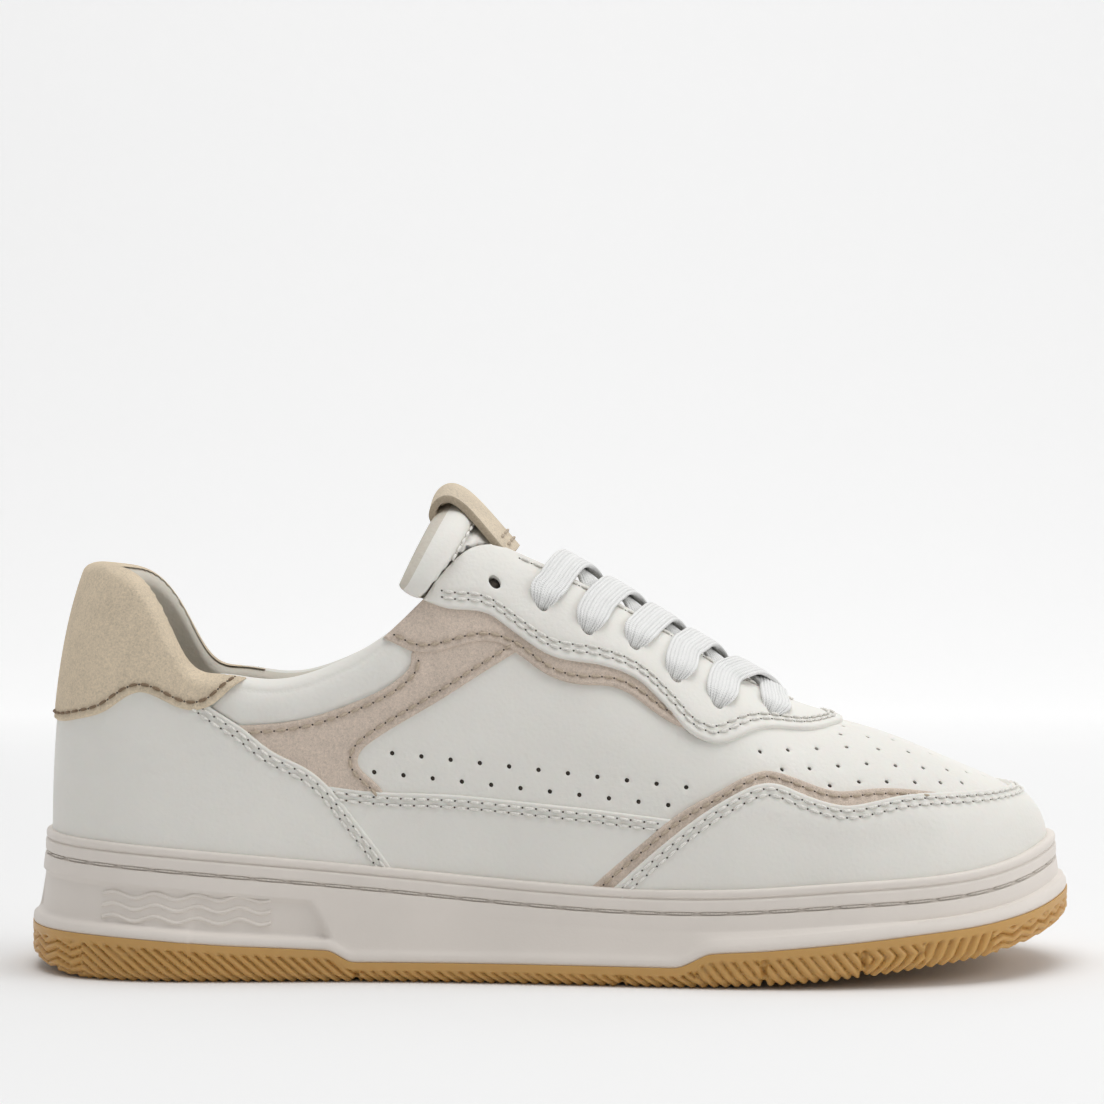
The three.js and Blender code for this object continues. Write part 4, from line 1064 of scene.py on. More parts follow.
eye_edges = [along(eyestay_side(EYESTAY_EDGE, s)) for s in (True, False)]
rears = [along(on_top(REAR_CORNER[1:], s)) for s in (True, False)]
throats = [throat_edge(s) for s in (True, False)]
tip = along(np.vstack([eye_edges[0][-1:], plan_on_top([(81.6, -13.5), (83.6, -8), (84, 2), (83.4, 11),
                                                       (81.6, 17)]), eye_edges[1][-1:]]))
throat_tip = along(np.vstack([throats[0][-1:], plan_on_top([(66.4, -3), (THROAT_END, 0.3), (66.4, 3.6)]),
                              throats[1][-1:]]))
eyestay_edge = chart_loop(eye_edges[0], tip, eye_edges[1][::-1])
eyestay_outline = chart_loop(eyestay_edge, rears[1], throats[1], throat_tip[::-1], throats[0][::-1],
                             rears[0][::-1])
eyelet_charts = {s: eyestay_side(EYELETS, s) for s in (True, False)}
holes = [(c, EYELET_RADIUS) for s in (True, False) for c in eyelet_charts[s]]
rows = [beside(eyestay_edge, by)[7:-7] for by in (2.6, 4.4)]
rows.append(beside(chart_loop(throats[0], throat_tip, throats[1][::-1]), -2.2)[3:-3])
piece = panel("eyestay_leather", eyestay_outline, top_place, eyestay_depth, 1.7, WHITE, step=1.8,
              seams=rows, holes=holes, hole_sides=20)
place_on(piece, "shoe", "white_leather", "eyestay")
for row in rows:
    sew_chart(row, top_place, eyestay_depth)
# Painted shade: a dark disc filling each eyelet of the top pair, which has no lace through it.
paint_punch_shades([eyelet_charts[s][0] for s in (True, False)], top_place, 0.9, 1.9)

# Backing of the facings: the lining that shows at the throat's edge.
FACING_FAR = [(-33, 107), (-20, 104), (-5, 97), (8, 92), (20, 88), (30, 82), (42, 73), (62, 71.5)]
for k, (side, lateral) in enumerate(SIDES):
    outline = chart_loop(rears[k][4:], throats[k], straight(on_top(FACING_FAR, lateral)[::-1]))
    piece = panel(f"facing_{side}_lining", outline, top_place, facing_depth, 1.6, LINING, step=2.2,
                  fillet=0.5, holes=[(c, EYELET_RADIUS) for c in eyelet_charts[lateral]], hole_sides=16)
    place_on(piece, "shoe", "lining_textile")


# ---- collar: padded roll, foam and lining -------------------------------------------------------------
def collar_width(x):
    """Half the width of the padded collar."""
    return (4.4 + COLLAR_PAD * (1 - 0.72 * float(smoothstep(x, -64, -38)))) / 2


def collar_grid(last, first, columns, section):
    """Columns of points round the collar, each a section of (height below the top, depth)."""
    grid = []
    for angle in np.linspace(first, last, columns):
        at = np.array([[MID_X - HALF_X * math.cos(angle), 0.0]])
        for _ in range(4):
            at = surface(np.array([angle]), rise_of(np.array([angle]), top_line_z(at[:, 0])))
        x = float(at[0, 0])
        drops, depths = section(x)
        a = np.full(len(drops), angle)
        grid.append(off_surface(a, rise_of(a, float(top_line_z(x)) - drops), depths))
    return np.array(grid)


def ring_mesh(name, grid, *materials, sharp=50):
    """Closed sections joined end to end and capped."""
    count, sides = grid.shape[:2]
    faces = [(i * sides + k, (i + 1) * sides + k, (i + 1) * sides + (k + 1) % sides,
              i * sides + (k + 1) % sides) for i in range(count - 1) for k in range(sides)]
    base, last = count * sides, (count - 1) * sides
    faces += [(base, k, (k + 1) % sides) for k in range(sides)]
    faces += [(base + 1, last + (k + 1) % sides, last + k) for k in range(sides)]
    verts = np.vstack([grid.reshape(-1, 3), grid[0].mean(0), grid[-1].mean(0)])
    return make_mesh(name, verts, faces, *materials, sharp=sharp)


def two_sided(front, back):
    """A closed section from a front line and the line behind it."""
    return tuple(np.concatenate([a, b[::-1]]) for a, b in zip(front, back))


def seam_drop(x):
    """Depth of the collar's seam below the top line."""
    seam_x, seam_z = np.array(COLLAR_SEAM[:6]).T
    return max(float(top_line_z(x) - np.interp(x, seam_x, seam_z)), 3.0) + 1.0


def collar_section(x):
    """From the collar's seam up its swelling side and over the crest, with a thin sheet's back."""
    width, drop = collar_width(x), seam_drop(x)
    height = min(width, 4.2)
    turn = np.linspace(0, math.pi * 0.53, 12)
    sides = np.linspace(drop, height, 16)[:-1]
    full = float(smoothstep(-x, 38, 46)) * float(smoothstep(x, -98, -88))
    puff = 1.15 * full * np.sin(np.pi * np.clip((sides - height) / (drop - height), 0, 1)) ** 0.8
    drops = np.concatenate([sides, height * (1 - np.sin(turn))])
    depths = np.concatenate([puff - 0.3 * (sides > drop - 1.2), -width * (1 - np.cos(turn))]) + 0.15
    under_tab = 1 - float(smoothstep(x, -99, -92))
    drops, depths = drops + 1.0 * under_tab, depths - 0.8 * under_tab
    return two_sided((drops, depths), (drops + 0.6 * (drops < 6), depths - 1.1))


collar_ends = [float(from_side([(x, 100)])[0][0]) for x in (-36, -134)]
for side, lateral in SIDES:
    last, first = collar_ends if lateral else (-collar_ends[1], -collar_ends[0])
    piece = ring_mesh(f"collar_{side}_leather", collar_grid(last, first, 110, collar_section), WHITE)
    place_on(piece, "shoe", "white_leather", f"collar_panel_{side}")


def foam_section(x):
    """Rounded pad between the collar's leather and its lining."""
    width, drop = collar_width(x), max(seam_drop(x), 16.0)
    turn = np.linspace(0, 2 * math.pi, 24, endpoint=False)
    cos, sin = (np.sign(v) * np.abs(v) ** 0.7 for v in (np.cos(turn), np.sin(turn)))
    return (drop + 3.2) / 2 - (drop - 3.2) / 2 * sin, -width + max(width - 2, 0.5) * cos


foam_end = float(from_side([(-40, 98)])[0][0])
piece = ring_mesh("collar_foam_roll", collar_grid(foam_end, -foam_end, 150, foam_section), FOAM)
place_on(piece, "shoe", "foam", "collar_foam")


def lining_section(x):
    """From the crest of the collar over and down the inside to the footbed."""
    width = collar_width(x)
    height = min(width, 4.2)
    turn = np.linspace(math.pi * 0.42, math.pi, 12)
    bottom = float(top_line_z(x) - rim_z(x)) + 4.0
    below = np.linspace(height, bottom, 26)[1:]
    inner = -2 * width + (2 * width - 4.4) * smoothstep(below, 22, 38)
    drops = np.concatenate([height * (1 - np.sin(turn)), below])
    depths = np.concatenate([-width * (1 - np.cos(turn)), inner])
    drops = drops + 0.35 * (1 - smoothstep(drops, 0, 4))
    behind = drops + 0.5 * (drops < 5), depths + 0.9 * smoothstep(drops, 1, 8) + 0.3
    return two_sided((drops, depths), behind)


lining_end = float(from_side([(-24, 112)])[0][0])
lining_grid = collar_grid(lining_end, -lining_end, 220, lining_section)
piece = ring_mesh("collar_lining_textile", lining_grid, LINING)
place_on(piece, "shoe", "lining_textile", "quarter_lining")

# ---- tongue ---------------------------------------------------------------------------------------
TONGUE_LINE = along([(72, 66.4), (60, 71.6), (48, 78.4), (32, 88.4), (18, 97.4), (5, 104.8), (-4, 111),
                     (-11.6, 117.5), (-18.4, 124.8), (-24.2, 130.8), (-29.1, 135.5)], 0.5)
TONGUE_SEAM, TONGUE_END = 0.912, 0.94
TONGUE_GAP, TONGUE_SIDES, BOUND_EDGE_RINGS = 4.6, 72, 7


def tongue_at(share):
    """Side-view point and direction off the front at a share of the tongue's length."""
    at = np.array([np.interp(share, np.linspace(0, 1, len(TONGUE_LINE)), v) for v in TONGUE_LINE.T]).T
    step = np.diff(TONGUE_LINE, axis=0)
    step /= np.linalg.norm(step, axis=1, keepdims=True)
    t = np.array([np.interp(share, np.linspace(0, 1, len(step)), v) for v in step.T]).T
    return at, np.stack([t[..., 1], -t[..., 0]], -1)


def tongue_point(share, across, depth):
    """A point of the tongue: share up its length, across -1 to 1, depth behind its front."""
    share, across, depth = np.broadcast_arrays(*(np.asarray(v, float) for v in (share, across, depth)))
    p, n = tongue_at(share)
    radius = 24 + 8 * share
    turn = (0.72 + 0.38 * share + 0.3 * smoothstep(share, 0.75, 1)) * across
    curl = radius * (1 - np.cos(turn))
    upright = 0.4 * smoothstep(share, 0.55, 0.95)
    fall_x, fall_z = n[..., 0] * (1 - upright), n[..., 1] * (1 - upright) + upright
    long = np.hypot(fall_x, fall_z)
    y = spine_y(p[..., 0]) + (radius - 0.5 * depth) * np.sin(turn)
    return np.stack([p[..., 0] - n[..., 0] * depth - fall_x / long * curl, y,
                     p[..., 1] - n[..., 1] * depth - fall_z / long * curl], -1)


def tongue_grid():
    """Rings round the tongue: padded towards the free top, a rolled edge above a stitched seam."""
    shares = np.concatenate([np.linspace(0, 0.55, 24)[:-1], np.linspace(0.55, TONGUE_END, 56)[:-1],
                             TONGUE_END + (1 - TONGUE_END) * np.sin(np.linspace(0, math.pi / 2, 16))])
    turn = np.linspace(0, 2 * math.pi, TONGUE_SIDES, endpoint=False)
    across = np.sign(np.cos(turn)) * np.abs(np.cos(turn)) ** 0.75
    back = (1 - np.sign(np.sin(turn)) * np.abs(np.sin(turn)) ** 0.45) / 2
    grid = []
    for s in shares:
        end = math.sqrt(max(1 - max((s - TONGUE_END) / (1 - TONGUE_END), 0) ** 2, 0.0009))
        thick = (3.2 + 6.2 * smoothstep(s, 0.55, 0.8)) * (1 - 0.35 * np.abs(across) ** 3)
        roll = min(max((s - TONGUE_SEAM) / (1 - TONGUE_SEAM), 0), 1)
        pad = min(max((s - 0.6) / (TONGUE_SEAM - 0.6), 0), 1)
        front = 1 - smoothstep(back, 0.1, 0.6)
        puff = (1.6 * math.sin(math.pi * roll) ** 0.6 + 0.9 * math.sin(math.pi * pad)) * front
        seam = 1.3 * math.exp(-(((s - TONGUE_SEAM) / 0.008) ** 2)) * front
        depth = thick / 2 + (back * thick - thick / 2 - puff) * end + seam
        grid.append(tongue_point(np.full(len(turn), s), across * (0.985 + 0.015 * end), depth))
    return np.array(grid)


def keep_inside(points):
    """Sideways limit of what lies between the facings, so that it stays within their lining."""
    for lateral in (True, False):
        flat = points.reshape(-1, 3)
        middle = spine_y(flat[:, 0])
        wall = surface(*from_side(flat[:, [0, 2]], lateral))[:, 1]
        room = np.abs(wall - middle) - TONGUE_GAP
        reach = np.abs(flat[:, 1] - middle)
        low = (flat[:, 2] < np.minimum(top_line_z(flat[:, 0]) + 1, ridge_z(flat[:, 0]))) & (room > 6)
        this = low & (reach > room) & ((flat[:, 1] < middle) == lateral)
        flat[:, 1] = np.where(this, middle + np.sign(flat[:, 1] - middle) * room, flat[:, 1])
    return points


tongue = ring_mesh("tongue_padded", keep_inside(tongue_grid()), WHITE, LINING, sharp=0)
top_ring = len(tongue.data.polygons) // TONGUE_SIDES - 2
for index, polygon in enumerate(tongue.data.polygons):
    ring, side = divmod(index, TONGUE_SIDES)
    if TONGUE_SIDES // 2 < side < TONGUE_SIDES - 1 or ring >= top_ring - BOUND_EDGE_RINGS:
        polygon.material_index = 1
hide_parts("tongue_face_lower", "tongue_face_upper", "tongue_foam_lower", "tongue_foam_upper",
            "tongue_lining_lower", "tongue_lining_upper")
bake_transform(tongue)

line = tongue_point(TONGUE_SEAM + 0.006, np.linspace(-0.9, 0.9, 80), -0.25)
ahead = tongue_point(TONGUE_SEAM + 0.006, np.linspace(-0.9, 0.9, 80), -1.25) - line
# The second batch holds dark lenses: painted shade in the tongue's needle holes.
batch, tongue_hole_shade_batch = Batch(), Batch()
sew(keep_inside(line), ahead / np.linalg.norm(ahead, axis=1, keepdims=True), batch, tongue_hole_shade_batch, 3.6)
place_on(batch.build("tongue_stitching", THREAD), "tongue_top", "thread")
place_on(tongue_hole_shade_batch.build("tongue_needle_hole_shades", HOLE_SHADE), "tongue_top", "thread")

# ---- tongue tab -------------------------------------------------------------------------------------
TAB_OUTER = along([(-33.6, 130.6), (-34.6, 133), (-34.0, 135.8), (-32.2, 138.0), (-29.4, 139.1),
                   (-26, 138.2), (-21.5, 134.7), (-15.8, 128.5), (-11.6, 123.7), (-9.3, 121)], 0.7)
TAB_HALF, TAB_THICK, TAB_CURVE = 14.2, 2.0, 25.0


def strip_section():
    """Rectangle with just broken corners: (across, through) points of the tab's strip."""
    corners = []
    for across, through in ((1, -1), (1, 1), (-1, 1), (-1, -1)):
        bend = [(TAB_HALF - 0.35, TAB_THICK / 2), (TAB_HALF - 0.1, TAB_THICK / 2 - 0.1),
                (TAB_HALF, TAB_THICK / 2 - 0.35)]
        corners += [(across * a, through * b) for a, b in (bend if across != through else bend[::-1])]
        if across == through:
            corners += [(across * share * TAB_HALF, through * TAB_THICK / 2)
                        for share in np.linspace(0.85, -0.85, 12)]
    return np.array(corners)


def tab_strip(shade_lenses):
    """A folded strip that follows its side view, with two rows of stitches by its front end."""
    t = np.gradient(TAB_OUTER, axis=0)
    t /= np.linalg.norm(t, axis=1, keepdims=True)
    n = np.column_stack([-t[:, 1], np.zeros(len(t)), t[:, 0]])
    y0 = float(spine_y(-30))
    line = np.column_stack([TAB_OUTER[:, 0], np.full(len(t), y0), TAB_OUTER[:, 1]])
    share = np.linspace(0, 1, len(line))[:, None]
    fall = (1 - share) * (-0.1, 0, -1) + share * (-0.62, 0, -0.78)
    section = strip_section()
    sag = TAB_CURVE - np.sqrt(TAB_CURVE**2 - section[:, :1] ** 2)
    grid = np.array([p + (section[:, 1:] - TAB_THICK / 2) * up + section[:, :1] * (0, 1, 0) + sag * down
                     for p, up, down in zip(line, n, fall)])
    obj = ring_mesh("tongue_tab_suede", grid, TAB_LEATHER, TAB_CUT, sharp=55)
    for index, polygon in enumerate(obj.data.polygons):
        if index % (len(section) // 2) < 5:
            polygon.material_index = 1
    ys = np.linspace(2.5 - TAB_HALF, TAB_HALF - 2.5, 40)
    sag = TAB_CURVE - np.sqrt(TAB_CURVE**2 - ys**2)
    stitches = Batch()
    for k in (-5, -9):
        row = line[k] + ys[:, None] * (0, 1, 0) + sag[:, None] * fall[k]
        sew(row, np.broadcast_to(n[k], row.shape), stitches, shade_lenses, 3.2)
    return obj, stitches.build("tab_stitching", THREAD_BEIGE)


# Dark lenses for painted shade in the tab's needle holes.
tab_hole_shade_batch = Batch()
tab, tab_stitching = tab_strip(tab_hole_shade_batch)
place_on(tab, "tongue_top", "tan_suede", "tongue_tab")
place_on(tab_stitching, "tongue_top", "thread")
place_on(tab_hole_shade_batch.build("tab_needle_hole_shades", HOLE_SHADE), "tongue_top", "thread")

# ---- lace -------------------------------------------------------------------------------------------
ON_TOP = EYESTAY_DEPTH + LACE_THICK / 2 - 0.15
LACED = EYELETS[1:]
LACE_UNDER = -6.4
DIVE = ((4.6, ON_TOP, 9.4), (2.2, ON_TOP - 0.1, 8.0), (0.5, 1.6, 5.2), (0, -1.5, 4.2),
        (0.8, LACE_UNDER, 4.6))
CROSS = ((-0.34, -16.5, -6.5, 7.0), (-0.24, -12.8, -1.6, 8.4), (-0.06, -8.5, 2.0, 9.4),
         (0.27, 0, 3.2, 9.4), (0.50, 8, 4.2, 9.4), (0.68, 14.5, ON_TOP + 0.3, 9.4), (0.84, 19, ON_TOP, 9.4))
OVER, SHARE_OF_OVER = {True: 1.2, False: -1.0}, (0, 0, 0.6, 1, 0.4, 0, 0)


def dive_points(index, lateral):
    """Over the facing's edge of an eyelet, down through it and back under."""
    x = LACED[index][0]
    lift = float(eyestay_lift(x))
    angle, rise = (v[0] for v in seen_from_side([LACED[index]], lateral, lift))
    at, n = surface(angle, rise), normal_at(angle, rise)
    level = np.array([0, 1.0, 0]) - n * n[1]
    level *= (1 if lateral else -1) / np.linalg.norm(level)
    return [(at + n * (depth + lift - EYESTAY_DEPTH) + level * inwards, n, width)
            for inwards, depth, width in DIVE]


def over_point(x, y, depth, width):
    """A stop of the lace over a place in plan: point, direction off the shoe, width."""
    angle, rise = (v[0] for v in over_plan([(x, y)]))
    n = normal_at(angle, rise)
    return surface(angle, rise) + n * depth, n, width


def crossing_points(index, to_lateral):
    """From under one facing up over the tongue and onto the other, one eyelet higher."""
    side = -1 if to_lateral else 1
    start, end = LACED[index][0], LACED[index - 1][0]
    mid = float(spine_y(start))
    stops = []
    for (share, aside, depth, width), more in zip(CROSS, SHARE_OF_OVER):
        x = start + (end - start) * share
        lift = (float(eyestay_lift(x)) - EYESTAY_DEPTH) * (share > 0.7)
        stops.append(over_point(x, mid + side * aside, depth + more * OVER[to_lateral] + lift, width))
    return stops


def lace_half(lateral):
    """Stops of one half of the lace, from the middle of the toe bar to its last eyelet."""
    side = lateral
    out = -1 if lateral else 1
    x = LACED[-1][0] + 0.6
    lift = float(eyestay_lift(x)) - EYESTAY_DEPTH
    points = [over_point(x, float(spine_y(x)), ON_TOP - 0.6, 9.4),
              over_point(x, float(spine_y(x)) + out * 9, ON_TOP - 0.2 + lift, 9.4)][0 if lateral else 1:]
    points += dive_points(5, side)
    for index in range(5, 0, -1):
        side = not side
        points += crossing_points(index, side) + dive_points(index - 1, side)
    return points


def hermite(values, t, at):
    """Smooth curve through values at rising t."""
    slopes = np.gradient(values, t, axis=0)
    i = np.clip(np.searchsorted(t, at, side="right") - 1, 0, len(t) - 2)
    h = (t[i + 1] - t[i])[:, None]
    u = ((at - t[i]) / h[:, 0])[:, None]
    return ((2 * u**3 - 3 * u**2 + 1) * values[i] + (u**3 - 2 * u**2 + u) * h * slopes[i]
            + (-2 * u**3 + 3 * u**2) * values[i + 1] + (u**3 - u**2) * h * slopes[i + 1])


def lace_frames(flat, tangent):
    """Directions across the lace: level with the shoe where it lies, carried on where it dives."""
    frames = []
    across = np.cross(tangent[0], flat[0])
    across /= np.linalg.norm(across)
    for f, d in zip(flat, tangent):
        wanted = np.cross(d, f)
        size = np.linalg.norm(wanted)
        if wanted @ across < 0:
            wanted = -wanted
        weight = min(size, 1) ** 2
        across = across * (1 - weight) + wanted / max(size, 1e-9) * weight
        across = across - d * (across @ d)
        across /= np.linalg.norm(across)
        frames.append(across)
    frames = np.array(frames)
    for _ in range(3):
        frames[1:-1] = (frames[:-2] + 2 * frames[1:-1] + frames[2:]) / 4
    return frames / np.linalg.norm(frames, axis=1, keepdims=True)


LACE_SIDES, LACE_RIBS = 88, 9


def lace_mesh():
    """One flat ribbed braid through all the eyelets but the top pair."""
    stops = lace_half(True)[::-1] + lace_half(False)
    places, normals = (np.array([s[k] for s in stops]) for k in (0, 1))
    t = np.concatenate([[0], np.cumsum(np.linalg.norm(np.diff(places, axis=0), axis=1) ** 0.5)])
    fine = np.concatenate([np.linspace(a, b, 9)[:-1] for a, b in zip(t[:-1], t[1:])] + [t[-1:]])
    centre, flat = hermite(places, t, fine), hermite(normals, t, fine)
    width = hermite(np.array([s[2:] for s in stops]), t, fine)[:, 0]
    tangent = np.gradient(centre, axis=0)
    tangent /= np.linalg.norm(tangent, axis=1, keepdims=True)
    turn = (np.arange(LACE_SIDES) + 0.5) * 2 * math.pi / LACE_SIDES
    cos, sin = np.cos(turn), np.sin(turn)
    u = np.sign(cos) * np.abs(cos) ** 0.8
    ribbed = 1 - 0.5 * (1 - np.abs(np.cos(u * math.pi * LACE_RIBS / 2)) ** 0.7)
    v = np.sign(sin) * np.abs(sin) ** 0.55 * ribbed
    grid = []
    for c, a, d, w in zip(centre, lace_frames(flat, tangent), tangent, width):
        thick = LACE_THICK * (1 + 0.9 * (1 - w / LACE_WIDTH))
        grid.append(c + np.outer(u * w / 2, a) + np.outer(v * thick / 2, np.cross(a, d)))
    obj = ring_mesh("lace_flat_braid", np.array(grid), LACE, sharp=0)
    run = np.concatenate([[0], np.cumsum(np.linalg.norm(np.diff(centre, axis=0), axis=1))])
    place = np.column_stack([np.repeat(run, LACE_SIDES), np.tile(u * LACE_RIBS / 2, len(run))])
    place = np.vstack([place, place[0], place[-1]])
    layer = obj.data.uv_layers.new(name="braid")
    corners = np.empty(len(obj.data.loops), int)
    obj.data.loops.foreach_get("vertex_index", corners)
    layer.data.foreach_set("uv", place[corners].ravel())
    return obj


place_on(lace_mesh(), "shoe", "lace_cotton", "lace")

# ---- sole -------------------------------------------------------------------------------------------
tread_z = spline([(-146, 4.2), (-136, 1.3), (-118, 0), (-60, 0), (0, 0), (35, 0), (60, 1), (80, 2.7),
                  (102, 5.2), (127, 9), (144, 14)])
gum_heel = spline([(-144, 13.4), (-128, 12.7), (-110, 11.6), (-92, 10.3), (-75, 9.5), (-63, 8.9)])
gum_toe = spline([(40, 9), (47, 9.8), (54, 10.2), (68, 11.4), (84, 12.9), (102, 14.7), (112, 15.6),
                  (122, 17), (132, 19), (144, 22.6)])
GUM_WAIST_Z = 5.6


def ground_z(x):
    return np.where((x > -112) & (x < 36), 0, np.maximum(tread_z(x), 0))


def gum_top_z(x):
    """Top of the gum: high at the heel, stepped down through the waist, rising again to the toe."""
    back = gum_heel(x) + (GUM_WAIST_Z - gum_heel(x)) * smoothstep(x, -63, -54.5)
    front = GUM_WAIST_Z + (gum_toe(x) - GUM_WAIST_Z) * smoothstep(x, 34, 44)
    return np.where(x < 0, back, front)


class Ring:
    """Columns of points round the sole line that can be moved outwards and set at a height."""

    def __init__(self, angles):
        e = 1e-3
        self.angles = angles
        self.x, self.y = MID_X - HALF_X * np.cos(angles), loop_y(np.mod(angles, 2 * math.pi))
        dx, dy = HALF_X * np.sin(angles) * 2 * e, loop_y(angles + e) - loop_y(angles - e)
        long = np.hypot(dx, dy)
        self.nx, self.ny = dy / long, -dx / long
        self.run = np.concatenate([[0], np.cumsum(np.hypot(np.diff(self.x), np.diff(self.y)))])

    def at(self, out, z):
        return np.column_stack([self.x + self.nx * out, self.y + self.ny * out,
                                np.broadcast_to(z, self.x.shape)])

    def normals(self):
        return np.column_stack([self.nx, self.ny, np.zeros(len(self.x))])


WALL_COLUMNS, GUM_COLUMNS, TREAD_ROWS = 720, 1620, 30


def full_ring(columns):
    return Ring(np.arange(columns) * 2 * math.pi / columns)


def loft(name, rings, material, ends=(True, True), extra=((), ())):
    """Rings joined bottom to top, with flat ends where wanted and extra points and faces."""
    columns = len(rings[0])
    verts, faces = np.vstack([*rings, *extra[0]]), list(extra[1])
    for r in range(len(rings) - 1):
        a = r * columns
        faces += [(a + i, a + (i + 1) % columns, a + columns + (i + 1) % columns, a + columns + i)
                  for i in range(columns)]
    top = (len(rings) - 1) * columns
    for i in range(columns // 2):
        a, b, c, d = i, i + 1, (columns - i) % columns, columns - i - 1
        if ends[0]:
            faces.append(tuple(dict.fromkeys((a, c, d, b))))
        if ends[1]:
            faces.append(tuple(dict.fromkeys((top + a, top + b, top + d, top + c))))
    return make_mesh(name, verts, [f for f in faces if len(f) > 2], material, sharp=60)


FOOT_OUT, RECESS_DEEP, LIP = 5.7, 2.0, 2.6


def wall_out(x, z, recessed):
    """How far the sidewall stands out at a height, leaning in upwards, with the heel recess."""
    low, high = gum_top_z(x) + LIP + 1.0, rim_z(x) - 11.0
    s = np.clip((z - low) / (high - low), 0, 1)
    foot = FOOT_OUT + 0.5 * (x < -100)
    return foot + (4.3 - foot) * s**0.85 - RECESS_DEEP * recessed * (1 - 0.55 * s)


def cup_sole():
    """Sidewall with a stitch groove and a bead under its rim, a heel recess and a flared foot."""
    ring = full_ring(WALL_COLUMNS)
    gum, rim = gum_top_z(ring.x), rim_z(ring.x)
    back = (ring.angles < math.pi) * smoothstep(ring.x, -146.5, -141)
    foot_recess = back * (1 - smoothstep(ring.x, -63.5, -61))
    flare = FOOT_OUT + 0.7 + 0.5 * (ring.x < -100)
    lip = gum + LIP
    rings = [ring.at(flare - 1.0, gum - 0.4), ring.at(flare + 0.1, gum + 0.1),
             ring.at(flare + 0.3, gum + 0.9), ring.at(flare + 0.1, lip - 0.4),
             ring.at(flare - 0.4 - 0.9 * foot_recess, lip + 0.2)]
    for s in np.linspace(0, 1, 16):
        z = lip + 1.0 + (rim - 11.0 - lip - 1.0) * s
        recess = back * (1 - smoothstep(ring.x, -63.5 - 5 * s, -61 - 5 * s)) * smoothstep(1 - s, 0, 0.08)
        rings.append(ring.at(wall_out(ring.x, z, recess), z))
    profile = [(4.25, -10.3), (4.2, -9.6), (3.95, -7.6), (3.85, -7.0), (3.8, -6.8), (3.3, -6.68),
               (2.85, -6.45), (2.8, -6.1), (2.95, -5.82), (3.5, -5.66), (3.7, -5.5), (3.72, -5.0),
               (3.7, -3.2), (3.6, -2.75), (3.35, -2.55), (2.95, -2.4), (2.9, -2.2), (3.1, -2.0),
               (3.4, -1.85), (3.5, -1.5), (3.5, -0.7), (3.3, -0.15), (2.8, 0.15), (1.2, 0.15),
               (0.5, -0.4), (0.4, -5)]
    rings += [ring.at(out, rim + up) for out, up in profile]
    return loft("cup_sole_rubber", rings, SOLE_WHITE)


place_on(cup_sole(), "shoe", "white_rubber", "cup_sole")

RIB_PITCH = 3.1
SLOTS = (-54, 20, 58, 84)


def saw(t):
    """Triangle wave between 0 and 1."""
    return np.abs((t % 1) * 2 - 1)


def rib_phase(x, run, z):
    """Ribs of the gum's side by zone from heel to toe, as a count of pitches."""
    across, middle = run / RIB_PITCH, (ground_z(x) + gum_top_z(x)) / 2
    phase = across + z * np.where(x > 40, 0.8, 1.15) / RIB_PITCH
    phase = np.where(x > 85, across + 0.85 * np.abs(z - middle) / RIB_PITCH, phase)
    phase = np.where(x > 100, across - 0.45 * z / RIB_PITCH, phase)
    nested = (gum_top_z(x) - z) / 2.4
    phase = np.where(x > 118, nested + 0.55 * saw(run / 7.2), phase)
    return np.where(x < -128, nested + 0.8 * saw(run / 9.0), phase)


def outsole():
    """Gum sole: ribs round its side and a herringbone tread cut underneath."""
    ring = full_ring(GUM_COLUMNS)
    x, gum, ground = ring.x, gum_top_z(ring.x), ground_z(ring.x)
    run = np.minimum(ring.run, ring.run[-1] + ring.run[1] - ring.run)
    flare = 6.9 + 0.4 * (x < -100)
    slot = sum(np.exp(-(((x - at) / 0.75) ** 4)) for at in SLOTS)
    rings = []
    for s in np.linspace(0, 1, 24):
        z = ground + (gum - ground) * s
        under = 1 - np.sin(np.clip(s * (gum - ground) / 3.0, 0, 1) * math.pi / 2)
        rounded = np.abs(np.sin(math.pi * rib_phase(x, run, z))) ** 0.75
        band = 1 - smoothstep(z - gum, -2.6, -1.9)
        cut = (1.5 * (1 - rounded) + 1.3 * slot) * band
        rings.append(ring.at(flare - 2.4 * under - cut, z + 0.7 * cut * under))
    rings.append(ring.at(flare - 1.5, gum + 0.1))
    half, rows = GUM_COLUMNS // 2, TREAD_ROWS
    verts, faces = [], []
    left, right = rings[0][:half + 1], rings[0][-np.arange(half + 1)]
    for k in range(1, rows):
        share = k / rows
        line = left + (right - left) * share
        width = np.abs(left[:, 1] - right[:, 1])
        aside = line[:, 1]
        groove = np.abs(np.sin(math.pi * (line[:, 0] + 5.5 * saw(aside / 13)) / 4.6)) ** 0.5
        inside_edge = smoothstep(np.minimum(share, 1 - share) * width, 2, 5)
        line[:, 2] += 1.3 * (1 - groove) * inside_edge
        verts.append(line)
    start = len(rings) * GUM_COLUMNS

    def index(i, k):
        if k == 0:
            return i
        if k == rows:
            return (GUM_COLUMNS - i) % GUM_COLUMNS
        return start + (k - 1) * (half + 1) + i

    for i in range(half):
        for k in range(rows):
            face = (index(i, k), index(i, k + 1), index(i + 1, k + 1), index(i + 1, k))
            faces.append(tuple(dict.fromkeys(face)))
    return loft("outsole_gum", rings, GUM, (False, True), (verts, faces))


place_on(outsole(), "shoe", "gum_rubber", "outsole")


def sole_stitching():
    """Long stitches lying in the groove all round."""
    batch = Batch()
    ring = full_ring(WALL_COLUMNS)
    path, normals = ring.at(3.25, rim_z(ring.x) - 6.12), ring.normals()
    sew(np.vstack([path, path[:1]]), np.vstack([normals, normals[:1]]), batch, None, 9.5, 0.3, 0.36, 0.2)
    return batch.build("sole_stitching_thread", THREAD_SOLE)


place_on(sole_stitching(), "shoe", "thread", "sole_stitching")


